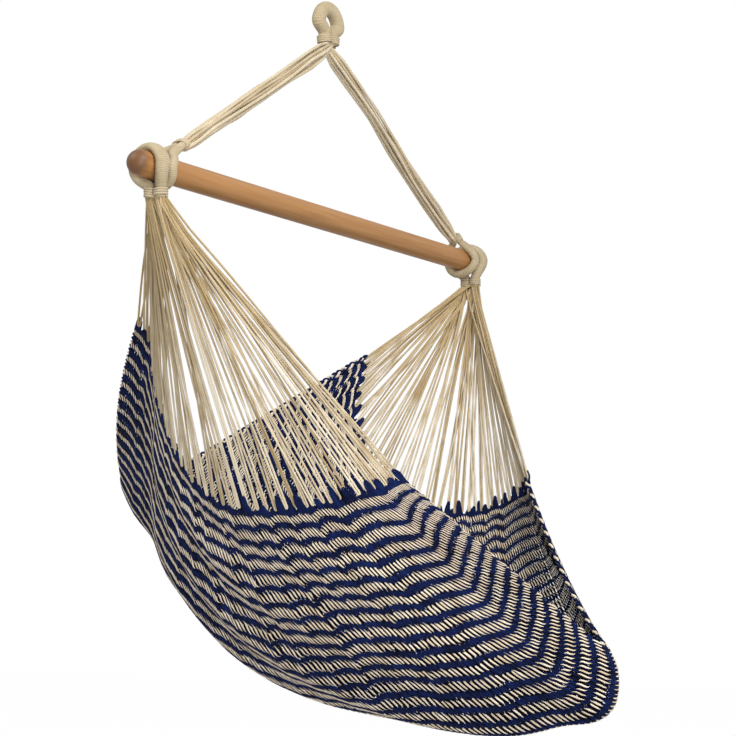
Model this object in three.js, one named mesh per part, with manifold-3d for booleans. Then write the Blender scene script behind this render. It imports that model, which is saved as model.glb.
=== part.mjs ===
import * as THREE from 'three';
import { mergeVertices } from 'three/addons/utils/BufferGeometryUtils.js';
import Module from 'manifold-3d';

// A hammock chair hung from one whipped eye. Millimetres, +Z up, X along the wooden bar.
// The origin is inside the crown of the hanging eye, where a hook carries it.
// The chair faces -Y, so the sitter's right is -X.

// Driving sizes
const BAR_LENGTH = 1050;
const BAR_DIAMETER = 40;
const BAR_DROP = 360;
const GAP = 0.3;
const MERGE_TOLERANCE = 0.01;
const FINE_MERGE_SHARE = 0.01;

// Hanging eye and its neck
const EYE_ROPE = 24;
const EYE_HOLE_WIDTH = 33;
const EYE_HOLE_HEIGHT = 24;
const NECK_BOTTOM_DROP = 49;
const NECK_LEG_GAP = 0.4;
const NECK_FILL_DEPTH = 17;
const NECK_ROPE = 21;

// Bridle: bundles of cords from the neck to the loops round the bar, set in from the bar's ends
const BRIDLE_CORD = 5;
const BRIDLE_CORDS_WIDE = 3;
const BRIDLE_CORDS_DEEP = 4;
const BRIDLE_CORD_PITCH = 7;
const BRIDLE_BALL = 18;
const RIGHT_BRIDLE_NECK_INSET = 118;
const RIGHT_BRIDLE_NECK_RISE = 47;
const LEFT_BRIDLE_NECK_INSET = 92;
const LEFT_BRIDLE_NECK_RISE = 38;
const BRIDLE_LOOP_WIDE = 17;
const BRIDLE_LOOP_DEEP = 14;
const BRIDLE_LOOP_NECK_ROPE = 12;
const BRIDLE_LOOP_INSET = 63;
const BRIDLE_LOOP_BACK_INSET = 69;
const BRIDLE_LOOP_FOOT_INSET = 73;
const BRIDLE_LOOP_LEAD = 2;
const BRIDLE_LOOP_LEAN_SHARE = 0.45;
const BRIDLE_LOOP_TURN_SHARES = [0.27, 0.14, 0, -0.125, -0.25, -0.375, -0.5];
const BRIDLE_ROOT_SHARE = 0.7;
const BRIDLE_RUN_SHARES = [0, 0.06, 0.94, 1];
const BRIDLE_PINCH_SHARES = [0.3, 1, 1, 0.6];
const NECK_FILL_WIDE_SHARE = 1.3;
const LOOP_FILL_LONG_SHARE = 1.6;

// Hammock eyes: whipped rope loops, pressed flat on the bar, that hang the seat
const HAMMOCK_EYE_WIDE = 25;
const HAMMOCK_EYE_BACK_WIDE = 22;
const HAMMOCK_EYE_DEEP = 19;
const HAMMOCK_EYE_CROWN_DEEP = 14;
const HAMMOCK_NECK_ROPE = 17;
const HAMMOCK_EYE_FRONT_INSET = 38;
const HAMMOCK_EYE_BACK_INSET = 45;
const HAMMOCK_EYE_NECK_INSET = 48;
const HAMMOCK_EYE_NECK_FORWARD = 9;
const HAMMOCK_EYE_DROP = 48;
const BACK_LEG_SHARES = [[0, 0], [0, 1.15], [0.25, 1.78]];
const FRONT_LEG_SHARES = [[0, 1.45], [0, 0]];
const EYE_TURN_SHARES = [-0.31, -0.2, -0.09, 0.02, 0.13, 0.25, 0.37, 0.5, 0.63, 0.75, 0.87, 0.98, 1.07];
const UNDER_DEEP_SHARE = 0.85;
const NECK_FILL_HIGH_SHARE = 0.9;

// Whippings, each one cord wound round a neck
const WHIP_CORD = 4.2;
const WHIP_PITCH = 4.8;
const WHIP_STEPS = 16;
const WHIP_SIDES = 5;
const HANGING_WHIP_TURNS = 3;
const BRIDLE_WHIP_CORD = 2.8;
const BRIDLE_WHIP_PITCH = 3.4;
const BRIDLE_WHIP_TURNS = 3;
const CLEW_WHIP_TURNS = 2;
const CLEW_WHIP_FLARE = 10;

// Clew strings: five fans a side, each fan ends on its share of the weave's end loops
const FAN_COUNT = 5;
const STRINGS_PER_SIDE = 40;
const STRING_DIAMETER = 3.4;
const FAN_ROOT_PITCH = 7.8;
const FAN_ROOT_SPREAD = 3.4;
const CLEW_CORD = 6.4;
const JOINT_CLEAR_SHARE = 0.15;

// Woven seat and its two braided edges
const SEAT_HALF_SPREAD = 335;
const SEAT_REACH = 530;
const SEAT_DROP = 858;
const SEAT_FAR_LIFT = 20;
const WEAVE_THICKNESS = 5;
const EDGE_CORD = 8;
const WEAVE_COLUMNS = 28;
const WEAVE_ROWS = 20;
const ROW_CROWDING_SHARE = 0.4;
const FOLD_DEPTH = 6;
const CREASE_DEPTH = 14;
const FRONT_RIDGE_DEPTH = 12;
const EDGE_TIP_SHARE = 0.5;

// How the seat hangs between its clew edges and its middle line, all as shares of their lengths
const KEEL_LAG_SHARE = 0.08;
const POINTED_SHARE = 0.12;
const ROUNDED_SHARE = 0.5;
const FOLDS_ALONG = 3.2;
const FOLDS_ACROSS = 3.1;
const CREASE_PLACE_SHARE = 0.135;
const CREASE_SPREAD_SHARE = 0.06;
const RIDGE_PLACE_SHARE = 0.9;
const RIDGE_SPREAD_SHARE = 0.05;
const SMALL_STEP_SHARE = 0.01;

// The clew edge of the sitter's right side, back corner to front corner.
// Each place is shares of the half spread (outward), the reach (back) and the drop (down from the bar).
const CLEW_EDGE_SHARES = [
  [1.0, 0.268, 0.247],
  [0.931, 0.249, 0.282],
  [0.896, 0.257, 0.327],
  [0.863, 0.255, 0.385],
  [0.851, 0.23, 0.435],
  [0.845, 0.183, 0.496],
  [0.848, 0.104, 0.552],
  [0.86, -0.004, 0.589],
  [0.854, -0.128, 0.599],
  [0.824, -0.255, 0.597],
  [0.77, -0.372, 0.583],
  [0.693, -0.47, 0.564],
  [0.606, -0.521, 0.543],
];

// The middle line of the seat, back edge down and forward to the front lip, as shares of reach and drop
const KEEL_SHARES = [
  [0.815, 0.526],
  [0.758, 0.592],
  [0.67, 0.665],
  [0.575, 0.729],
  [0.481, 0.785],
  [0.292, 0.862],
  [0.094, 0.923],
  [-0.091, 0.96],
  [-0.272, 0.983],
  [-0.449, 0.996],
  [-0.619, 1.0],
  [-0.774, 0.993],
  [-0.887, 0.977],
  [-0.958, 0.948],
  [-0.992, 0.91],
  [-0.998, 0.875],
  [-0.977, 0.839],
];

const wasm = await Module();
wasm.setup();

// Solids and meshes

function solidOf(geometry) {
  const bare = geometry.clone();
  for (const name of Object.keys(bare.attributes)) {
    if (name !== 'position') bare.deleteAttribute(name);
  }
  const merged = mergeVertices(bare, MERGE_TOLERANCE * FINE_MERGE_SHARE);
  const mesh = new wasm.Mesh({
    numProp: 3,
    vertProperties: new Float32Array(merged.attributes.position.array),
    triVerts: new Uint32Array(merged.index.array),
  });
  return new wasm.Manifold(mesh);
}

function geometryOf(solid) {
  const mesh = solid.getMesh();
  const geometry = new THREE.BufferGeometry();
  geometry.setAttribute('position', new THREE.BufferAttribute(mesh.vertProperties, 3));
  geometry.setIndex(new THREE.BufferAttribute(mesh.triVerts, 1));
  geometry.computeVertexNormals();
  return geometry;
}

function joined(geometries) {
  let solid = solidOf(geometries[0]);
  for (const geometry of geometries.slice(1)) {
    solid = solid.add(solidOf(geometry));
  }
  return geometryOf(solid.simplify(MERGE_TOLERANCE));
}

// Rings of an oval section along a row of points, carried from ring to ring without twist.
// wide is the half size along the starting side direction, deep the half size square to it.
function ringsAlong(points, wide, deep, sides, startSide = null) {
  const rings = [];
  let side = startSide;
  for (let i = 0; i < points.length; i += 1) {
    const before = points[Math.max(i - 1, 0)];
    const after = points[Math.min(i + 1, points.length - 1)];
    const along = after.clone().sub(before).normalize();
    if (side === null) {
      const away = Math.abs(along.z) < 0.9 ? new THREE.Vector3(0, 0, 1) : new THREE.Vector3(1, 0, 0);
      side = away.clone().cross(along).normalize();
    }
    side = side.clone().addScaledVector(along, -side.dot(along)).normalize();
    const up = along.clone().cross(side);
    const halfWide = Array.isArray(wide) ? wide[i] : wide;
    const halfDeep = Array.isArray(deep) ? deep[i] : deep;
    const ring = [];
    for (let k = 0; k < sides; k += 1) {
      const angle = (2 * Math.PI * (k + 0.5)) / sides;
      const spoke = side.clone().multiplyScalar(halfWide * Math.cos(angle));
      spoke.addScaledVector(up, halfDeep * Math.sin(angle));
      ring.push(points[i].clone().add(spoke));
    }
    rings.push({ centre: points[i].clone(), along, ring });
  }
  return rings;
}

function tubeFromRings(rings) {
  const sides = rings[0].ring.length;
  const places = [];
  const faces = [];
  for (const { ring } of rings) {
    for (const place of ring) places.push(place.x, place.y, place.z);
  }
  for (let i = 0; i + 1 < rings.length; i += 1) {
    for (let k = 0; k < sides; k += 1) {
      const a = i * sides + k;
      const b = i * sides + ((k + 1) % sides);
      faces.push(a, b, b + sides);
      faces.push(a, b + sides, a + sides);
    }
  }
  const last = (rings.length - 1) * sides;
  for (let k = 1; k + 1 < sides; k += 1) {
    faces.push(0, k + 1, k);
    faces.push(last, last + k, last + k + 1);
  }
  const geometry = new THREE.BufferGeometry();
  geometry.setAttribute('position', new THREE.Float32BufferAttribute(places, 3));
  geometry.setIndex(faces);
  geometry.computeVertexNormals();
  return geometry;
}

function tube(points, radii, sides) {
  return tubeFromRings(ringsAlong(points, radii, radii, sides));
}

// A smooth rope through stations, each a place with the half sizes of the rope there
function ropeThrough(stations, perSpan, sides, startSide) {
  const curve = new THREE.CatmullRomCurve3(stations.map((spot) => spot.place), false, 'centripetal');
  const count = (stations.length - 1) * perSpan;
  const points = curve.getPoints(count);
  const between = (key, i) => {
    const low = Math.min(Math.floor(i / perSpan), stations.length - 2);
    return THREE.MathUtils.lerp(stations[low][key], stations[low + 1][key], i / perSpan - low);
  };
  const wide = points.map((_, i) => between('wide', i));
  const deep = points.map((_, i) => between('deep', i));
  return tubeFromRings(ringsAlong(points, wide, deep, sides, startSide));
}

// A whipping: one cord wound round a neck of two legs side by side, as a single unbroken tube.
// A flare lets the upper turns reach further out over the first leg.
function whipping(name, centre, axis, wide, legOffset, legRadius, turns, cord, pitch, hand, flare = 0) {
  const up = axis.clone().normalize();
  const across = wide.clone().addScaledVector(up, -wide.dot(up)).normalize();
  const deep = up.clone().cross(across);
  const clear = cord / 2 + GAP;
  const steps = turns * WHIP_STEPS;
  const shrink = 1 / Math.cos(Math.PI / WHIP_STEPS);
  const points = [];
  for (let i = 0; i <= steps; i += 1) {
    const angle = (2 * Math.PI * (i + 0.5)) / WHIP_STEPS;
    const along = (i / WHIP_STEPS - turns / 2) * pitch;
    const point = centre.clone().addScaledVector(up, along);
    const out = Math.cos(angle);
    const legReach = out > 0 ? legOffset + flare * (i / steps) : -legOffset;
    point.addScaledVector(across, legReach + (legRadius + clear) * shrink * out);
    point.addScaledVector(deep, hand * (legRadius + clear) * shrink * Math.sin(angle));
    points.push(point);
  }
  let least = Infinity;
  for (let i = 0; i < points.length; i += 1) {
    for (let k = i + WHIP_STEPS / 2; k < points.length; k += 1) {
      least = Math.min(least, points[i].distanceTo(points[k]) - cord);
    }
  }
  console.log(`${name}: least gap to itself ${least.toFixed(2)} mm over ${turns} turns`);
  return tube(points, cord / 2, WHIP_SIDES);
}

// Materials

function finish(color, roughness, metalness) {
  return new THREE.MeshStandardMaterial({ color, roughness, metalness });
}

const chair = new THREE.Group();

function place(name, geometry, material, parent = chair) {
  const mesh = new THREE.Mesh(geometry, material);
  mesh.name = name;
  parent.add(mesh);
  return mesh;
}

const creamWhip = () => finish(0xc3b292, 0.95, 0);
const creamCord = () => finish(0xcabd9f, 0.92, 0);
const navyWeave = () => finish(0x4a4f66, 0.9, 0);
const navyEdge = () => finish(0x2a3252, 0.92, 0);
const oiledWood = () => finish(0xb9885a, 0.55, 0);

// Spreader bar: a plain dowel with domed ends

const barRadius = BAR_DIAMETER / 2;
const barEnd = BAR_LENGTH / 2;
const domeCentre = barEnd - barRadius;
const DOME_STEPS = 5;
const BAR_SIDES = 28;
const barOutline = [];
for (let i = 0; i <= DOME_STEPS; i += 1) {
  const angle = -Math.PI / 2 + (Math.PI / 2) * (i / DOME_STEPS);
  const out = i === 0 ? 0 : barRadius * Math.cos(angle);
  barOutline.push(new THREE.Vector2(out, -domeCentre + barRadius * Math.sin(angle)));
}
for (let i = 0; i <= DOME_STEPS; i += 1) {
  const angle = (Math.PI / 2) * (i / DOME_STEPS);
  const out = i === DOME_STEPS ? 0 : barRadius * Math.cos(angle);
  barOutline.push(new THREE.Vector2(out, domeCentre + barRadius * Math.sin(angle)));
}
const bar = place('spreader_bar', new THREE.LatheGeometry(barOutline, BAR_SIDES), oiledWood());
bar.rotation.z = -Math.PI / 2;
bar.position.set(0, 0, -BAR_DROP);

// Hanging eye: a rope loop over the hook, its two legs side by side at the neck

const eyeRopeRadius = EYE_ROPE / 2;
const eyeNeckRadius = NECK_ROPE / 2;
const crownRadius = EYE_HOLE_WIDTH / 2 + eyeRopeRadius;
const crownCentreDrop = crownRadius - eyeRopeRadius;
const neckLegOffset = eyeNeckRadius + NECK_LEG_GAP / 2;
const CROWN_STEPS = 8;
const eyeStations = [];
for (const drop of [NECK_BOTTOM_DROP, (NECK_BOTTOM_DROP + EYE_HOLE_HEIGHT) / 2, EYE_HOLE_HEIGHT]) {
  eyeStations.push({
    place: new THREE.Vector3(-neckLegOffset, 0, -drop),
    wide: eyeNeckRadius,
    deep: eyeNeckRadius,
  });
}
for (let i = 0; i <= CROWN_STEPS; i += 1) {
  const angle = Math.PI - (Math.PI * i) / CROWN_STEPS;
  const x = crownRadius * Math.cos(angle);
  const z = -crownCentreDrop + crownRadius * Math.sin(angle);
  eyeStations.push({ place: new THREE.Vector3(x, 0, z), wide: eyeRopeRadius, deep: eyeRopeRadius });
}
for (let i = 2; i >= 0; i -= 1) {
  const spot = eyeStations[i];
  eyeStations.push({ ...spot, place: new THREE.Vector3(-spot.place.x, 0, spot.place.z) });
}
const alongY = new THREE.Vector3(0, 1, 0);
const eyeRope = ropeThrough(eyeStations, 2, 10, alongY);
const neckFillHeight = NECK_BOTTOM_DROP - EYE_HOLE_HEIGHT;
const neckFill = new THREE.BoxGeometry(2 * neckLegOffset, NECK_FILL_DEPTH, neckFillHeight);
neckFill.translate(0, 0, -NECK_BOTTOM_DROP + neckFillHeight / 2);
place('hanging_eye', joined([eyeRope, neckFill]), creamWhip());

const hangingWhipHeight = HANGING_WHIP_TURNS * WHIP_PITCH + WHIP_CORD;
const hangingWhip = whipping(
  'hanging_eye_seizing',
  new THREE.Vector3(0, 0, -NECK_BOTTOM_DROP + hangingWhipHeight / 2),
  new THREE.Vector3(0, 0, 1),
  new THREE.Vector3(1, 0, 0),
  neckLegOffset,
  eyeNeckRadius,
  HANGING_WHIP_TURNS,
  WHIP_CORD,
  WHIP_PITCH,
  1,
);
place('hanging_eye_seizing', hangingWhip, creamWhip());

// Bridle: the cords of each side leave a ball under the neck, the ball being cut in two

const ballRadius = BRIDLE_BALL / 2;
const swingDrop = NECK_BOTTOM_DROP + GAP + ballRadius;
const swingCentre = new THREE.Vector3(0, 0, -swingDrop);
const bridleBound = (BRIDLE_WHIP_TURNS * BRIDLE_WHIP_PITCH + BRIDLE_WHIP_CORD) / 2;
const loopNeckRadius = BRIDLE_LOOP_NECK_ROPE / 2;
const loopLegOffset = loopNeckRadius + NECK_LEG_GAP / 2;

function bridle(side) {
  const ball = new THREE.SphereGeometry(ballRadius, 16, 10);
  ball.translate(swingCentre.x, swingCentre.y, swingCentre.z);
  const keep = new THREE.BoxGeometry(ballRadius * 2, ballRadius * 4, ballRadius * 4);
  keep.translate(side * (ballRadius + GAP / 2), 0, swingCentre.z);
  let solid = solidOf(ball).intersect(solidOf(keep));
  const reach = barEnd - (side < 0 ? RIGHT_BRIDLE_NECK_INSET : LEFT_BRIDLE_NECK_INSET);
  const rise = side < 0 ? RIGHT_BRIDLE_NECK_RISE : LEFT_BRIDLE_NECK_RISE;
  const end = new THREE.Vector3(side * reach, 0, -BAR_DROP + rise);
  const along = end.clone().sub(swingCentre).normalize();
  const up = along.clone().cross(alongY).normalize();
  const start = swingCentre.clone().addScaledVector(along, ballRadius * BRIDLE_ROOT_SHARE);
  const cordEnd = end.clone().addScaledVector(along, -GAP - bridleBound);
  for (let i = 0; i < BRIDLE_CORDS_WIDE; i += 1) {
    for (let k = 0; k < BRIDLE_CORDS_DEEP; k += 1) {
      const wide = (i - (BRIDLE_CORDS_WIDE - 1) / 2) * BRIDLE_CORD_PITCH;
      const deep = (k - (BRIDLE_CORDS_DEEP - 1) / 2) * BRIDLE_CORD_PITCH;
      const points = BRIDLE_RUN_SHARES.map((share, n) => {
        const point = start.clone().lerp(cordEnd, share);
        point.addScaledVector(alongY, wide * BRIDLE_PINCH_SHARES[n]);
        return point.addScaledVector(up, deep * BRIDLE_PINCH_SHARES[n]);
      });
      solid = solid.add(solidOf(tube(points, BRIDLE_CORD / 2, 5)));
    }
  }
  const footLength = BRIDLE_LOOP_WIDE / 2;
  const foot = new THREE.CylinderGeometry(BRIDLE_LOOP_WIDE / 2, BRIDLE_LOOP_WIDE / 2, footLength, 12);
  foot.applyQuaternion(new THREE.Quaternion().setFromUnitVectors(alongY, along));
  const footPlace = cordEnd.clone().addScaledVector(along, -footLength / 2);
  foot.translate(footPlace.x, footPlace.y, footPlace.z);
  solid = solid.add(solidOf(foot));
  return { geometry: geometryOf(solid.simplify(2 * MERGE_TOLERANCE)), end, along };
}

// Bridle loops: each passes under the bar and closes in the neck where its cords come in

function bridleLoop(side, end, along) {
  const halfWide = BRIDLE_LOOP_WIDE / 2;
  const halfDeep = BRIDLE_LOOP_DEEP / 2;
  const hold = barRadius + halfDeep + 3 * GAP;
  const half = [];
  for (const reach of [-bridleBound, 0, bridleBound + BRIDLE_LOOP_LEAD]) {
    const place = end.clone().addScaledVector(along, reach);
    place.y = loopLegOffset;
    half.push({ place, wide: loopNeckRadius, deep: loopNeckRadius });
  }
  for (const share of BRIDLE_LOOP_TURN_SHARES) {
    const angle = share * Math.PI;
    const rise = hold * Math.sin(angle);
    const inward = Math.max(0, rise) * BRIDLE_LOOP_LEAN_SHARE;
    const footPart = Math.max(0, -Math.sin(angle));
    const inset = THREE.MathUtils.lerp(BRIDLE_LOOP_BACK_INSET, BRIDLE_LOOP_FOOT_INSET, footPart);
    const x = barEnd - inset - inward;
    const place = new THREE.Vector3(side * x, hold * Math.cos(angle), -BAR_DROP + rise);
    const forward = (BRIDLE_LOOP_BACK_INSET - BRIDLE_LOOP_INSET) * Math.cos(angle) ** 2;
    half.push({ place, wide: halfWide, deep: halfDeep, forward: side * forward });
  }
  const stations = [...half];
  for (let i = half.length - 2; i >= 0; i -= 1) {
    const spot = half[i];
    const x = spot.place.x + (spot.forward ?? 0);
    stations.push({ ...spot, place: new THREE.Vector3(x, -spot.place.y, spot.place.z) });
  }
  const rope = ropeThrough(stations, 2, 10, new THREE.Vector3(0, 0, 1).cross(alongY));
  const fillLength = bridleBound * LOOP_FILL_LONG_SHARE;
  const fill = new THREE.BoxGeometry(loopNeckRadius * NECK_FILL_WIDE_SHARE, 2 * loopLegOffset, fillLength);
  fill.applyQuaternion(new THREE.Quaternion().setFromUnitVectors(new THREE.Vector3(0, 0, 1), along));
  const fillPlace = end.clone().addScaledVector(along, -bridleBound + fillLength / 2);
  fill.translate(fillPlace.x, fillPlace.y, fillPlace.z);
  return joined([rope, fill]);
}

for (const [word, side] of [['right', -1], ['left', 1]]) {
  const made = bridle(side);
  place(`${word}_bridle`, made.geometry, creamCord());
  place(`${word}_bridle_loop`, bridleLoop(side, made.end, made.along), creamWhip());
  const whip = whipping(
    `${word}_bridle_seizing`,
    made.end.clone(),
    made.along,
    alongY,
    loopLegOffset,
    loopNeckRadius,
    BRIDLE_WHIP_TURNS,
    BRIDLE_WHIP_CORD,
    BRIDLE_WHIP_PITCH,
    1,
  );
  place(`${word}_bridle_seizing`, whip, creamWhip());
}

// Hammock eyes: each hangs over the bar, flattened on its crown, and closes in a neck under it

const neckReach = barEnd - HAMMOCK_EYE_NECK_INSET;
const neckRadius = HAMMOCK_NECK_ROPE / 2;
const neckPlace = new THREE.Vector3(0, -HAMMOCK_EYE_NECK_FORWARD, -BAR_DROP - HAMMOCK_EYE_DROP);
const legSpread = neckRadius + NECK_LEG_GAP / 2;

function hammockEye(side) {
  const neckX = side * neckReach;
  const frontX = side * (barEnd - HAMMOCK_EYE_FRONT_INSET);
  const backX = side * (barEnd - HAMMOCK_EYE_BACK_INSET);
  const halfWide = HAMMOCK_EYE_WIDE / 2;
  const stations = [];
  const backY = neckPlace.y + legSpread;
  for (const [outShare, riseShare] of BACK_LEG_SHARES) {
    const y = backY + outShare * neckRadius;
    stations.push({
      place: new THREE.Vector3(neckX, y, neckPlace.z + riseShare * neckRadius),
      wide: neckRadius,
      deep: neckRadius,
    });
  }
  // Round the bar from its underside at the back, over the crown and down in front
  for (const share of EYE_TURN_SHARES) {
    const angle = share * Math.PI;
    const crown = Math.max(0, Math.sin(angle));
    const under = Math.max(0, -Math.sin(angle));
    let deep = THREE.MathUtils.lerp(HAMMOCK_EYE_DEEP / 2, HAMMOCK_EYE_CROWN_DEEP / 2, crown);
    deep = THREE.MathUtils.lerp(deep, neckRadius * UNDER_DEEP_SHARE, under);
    const turned = (1 - Math.cos(angle)) / 2;
    const level = THREE.MathUtils.lerp(HAMMOCK_EYE_BACK_WIDE / 2, halfWide, turned);
    const wide = THREE.MathUtils.lerp(level, neckRadius, under);
    const hold = barRadius + deep + GAP;
    const x = THREE.MathUtils.lerp(backX, frontX, turned);
    const place = new THREE.Vector3(x, hold * Math.cos(angle), -BAR_DROP + hold * Math.sin(angle));
    stations.push({ place, wide, deep });
  }
  const frontY = neckPlace.y - legSpread;
  for (const [outShare, riseShare] of FRONT_LEG_SHARES) {
    const y = frontY - outShare * neckRadius;
    stations.push({
      place: new THREE.Vector3(neckX, y, neckPlace.z + riseShare * neckRadius),
      wide: neckRadius,
      deep: neckRadius,
    });
  }
  const rope = ropeThrough(stations, 2, 10, new THREE.Vector3(1, 0, 0));
  const fillHeight = neckRadius * NECK_FILL_HIGH_SHARE;
  const fill = new THREE.BoxGeometry(neckRadius * NECK_FILL_WIDE_SHARE, 2 * legSpread, fillHeight);
  fill.translate(neckX, neckPlace.y, neckPlace.z + fillHeight / 2);
  return joined([rope, fill]);
}

for (const [word, side] of [['right', -1], ['left', 1]]) {
  place(`${word}_hammock_eye`, hammockEye(side), creamWhip());
  const whipHeight = CLEW_WHIP_TURNS * WHIP_PITCH + WHIP_CORD;
  const whip = whipping(
    `${word}_clew_seizing`,
    new THREE.Vector3(side * neckReach, neckPlace.y, neckPlace.z + whipHeight / 2),
    new THREE.Vector3(0, 0, 1),
    alongY,
    legSpread,
    neckRadius,
    CLEW_WHIP_TURNS,
    WHIP_CORD,
    WHIP_PITCH,
    -side,
    CLEW_WHIP_FLARE,
  );
  place(`${word}_clew_seizing`, whip, creamWhip());
}

// The seat's curved sheet

function shareCurve(rows) {
  return new THREE.CatmullRomCurve3(rows, false, 'catmullrom', 0.5);
}

const clewCurve = shareCurve(CLEW_EDGE_SHARES.map(([out, back, down]) => new THREE.Vector3(
  out * SEAT_HALF_SPREAD,
  back * SEAT_REACH,
  -BAR_DROP - down * SEAT_DROP,
)));
const keelCurve = shareCurve(KEEL_SHARES.map(([back, down]) => new THREE.Vector3(
  0,
  back * SEAT_REACH,
  -BAR_DROP - down * SEAT_DROP,
)));
clewCurve.arcLengthDivisions = 2000;
keelCurve.arcLengthDivisions = 2000;

// across runs from -1 at the right clew edge to 1 at the left, along from 0 at the back to 1 in front
function sheetPlace(across, along) {
  const edge = clewCurve.getPointAt(along);
  const keel = keelCurve.getPointAt(along - KEEL_LAG_SHARE * Math.sin(Math.PI * along));
  const ease = POINTED_SHARE + ROUNDED_SHARE * Math.sin(Math.PI * along) ** 2;
  const out = Math.abs(across);
  const span = Math.sqrt(1 + ease * ease) - ease;
  const drop = 1 - (Math.sqrt(out * out + ease * ease) - ease) / span;
  return new THREE.Vector3(
    edge.x * across,
    edge.y + (keel.y - edge.y) * drop,
    edge.z + (keel.z - edge.z) * drop + SEAT_FAR_LIFT * Math.max(across, 0),
  );
}

const HALF_SAMPLES = 120;

// Even steps from the clew edge to the keel at one place along
function acrossAtShare(side, along, share) {
  let total = 0;
  const lengths = [0];
  let last = sheetPlace(side, along);
  for (let i = 1; i <= HALF_SAMPLES; i += 1) {
    const next = sheetPlace(side * (1 - i / HALF_SAMPLES), along);
    total += last.distanceTo(next);
    lengths.push(total);
    last = next;
  }
  const wanted = share * total;
  let i = 1;
  while (i < HALF_SAMPLES && lengths[i] < wanted) i += 1;
  const part = (wanted - lengths[i - 1]) / (lengths[i] - lengths[i - 1]);
  return side * (1 - (i - 1 + part) / HALF_SAMPLES);
}

const clewRadius = CLEW_CORD / 2;
const edgeRadius = EDGE_CORD / 2;
const clewInset = clewRadius + 2 * GAP;
const edgeInset = edgeRadius + 1.5 * GAP;
const halfColumns = WEAVE_COLUMNS / 2;

function rowAcross(along) {
  const values = [];
  const rightEdge = sheetPlace(-1, along);
  const small = SMALL_STEP_SHARE;
  const inward = sheetPlace(acrossAtShare(-1, along, small), along).sub(rightEdge);
  const run = sheetPlace(-1, Math.min(along + small, 1)).sub(sheetPlace(-1, Math.max(along - small, 0)));
  const square = inward.clone().cross(run.normalize()).length();
  const insetShare = (small * clewInset) / square;
  for (let i = 0; i <= halfColumns; i += 1) {
    const share = insetShare + (1 - insetShare) * (i / halfColumns);
    values.push(acrossAtShare(-1, along, share));
  }
  for (let i = halfColumns - 1; i >= 0; i -= 1) {
    const share = insetShare + (1 - insetShare) * (i / halfColumns);
    values.push(acrossAtShare(1, along, share));
  }
  return values;
}

// Folds that run down and forward, the crease behind the back edge and the turn of the front ridge
function foldOffset(column, along) {
  const across = (2 * column) / WEAVE_COLUMNS - 1;
  const calm = Math.sin(Math.PI * along) ** 2 * (1 - across ** 6);
  const wave = Math.sin(2 * Math.PI * (FOLDS_ALONG * along + FOLDS_ACROSS * Math.abs(across)));
  const fromCrease = (along - CREASE_PLACE_SHARE) / CREASE_SPREAD_SHARE;
  const fromRidge = (along - RIDGE_PLACE_SHARE) / RIDGE_SPREAD_SHARE;
  const crease = Math.exp(-(fromCrease ** 2)) * (1 - across * across);
  const ridge = Math.exp(-(fromRidge ** 2)) * (1 - across ** 4);
  return FOLD_DEPTH * calm * wave + CREASE_DEPTH * crease + FRONT_RIDGE_DEPTH * ridge;
}

// Rows crowd toward the front lip, where the sheet turns most
function alongOfRow(row) {
  const share = row / WEAVE_ROWS;
  return share * (1 + ROW_CROWDING_SHARE * (1 - share));
}

function rowOfAlong(along) {
  const most = 1 + ROW_CROWDING_SHARE;
  const share = (most - Math.sqrt(most * most - 4 * ROW_CROWDING_SHARE * along)) / (2 * ROW_CROWDING_SHARE);
  return share * WEAVE_ROWS;
}

const rows = [];
for (let j = 0; j <= WEAVE_ROWS; j += 1) {
  const along = alongOfRow(j);
  rows.push(rowAcross(along).map((across) => sheetPlace(across, along)));
}

function outwardAt(grid, i, j) {
  const left = grid[j][Math.max(i - 1, 0)];
  const right = grid[j][Math.min(i + 1, grid[j].length - 1)];
  const back = grid[Math.max(j - 1, 0)][i];
  const front = grid[Math.min(j + 1, grid.length - 1)][i];
  return front.clone().sub(back).cross(right.clone().sub(left)).normalize();
}

const folded = rows.map((row, j) => row.map((point, i) => (
  point.clone().addScaledVector(outwardAt(rows, i, j), foldOffset(i, alongOfRow(j)))
)));

// The weave stops short of the two braided edges by their inset, column by column
const weave = folded.map((row) => row.map((point) => point.clone()));
for (let i = 0; i <= WEAVE_COLUMNS; i += 1) {
  const last = WEAVE_ROWS;
  for (const [edge, next] of [[0, 1], [last, last - 1]]) {
    const step = folded[next][i].clone().sub(folded[edge][i]);
    const ahead = folded[edge][Math.min(i + 1, WEAVE_COLUMNS)];
    const behind = folded[edge][Math.max(i - 1, 0)];
    const square = step.clone().cross(ahead.clone().sub(behind).normalize()).length();
    weave[edge][i] = folded[edge][i].clone().addScaledVector(step, edgeInset / square);
  }
}

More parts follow.
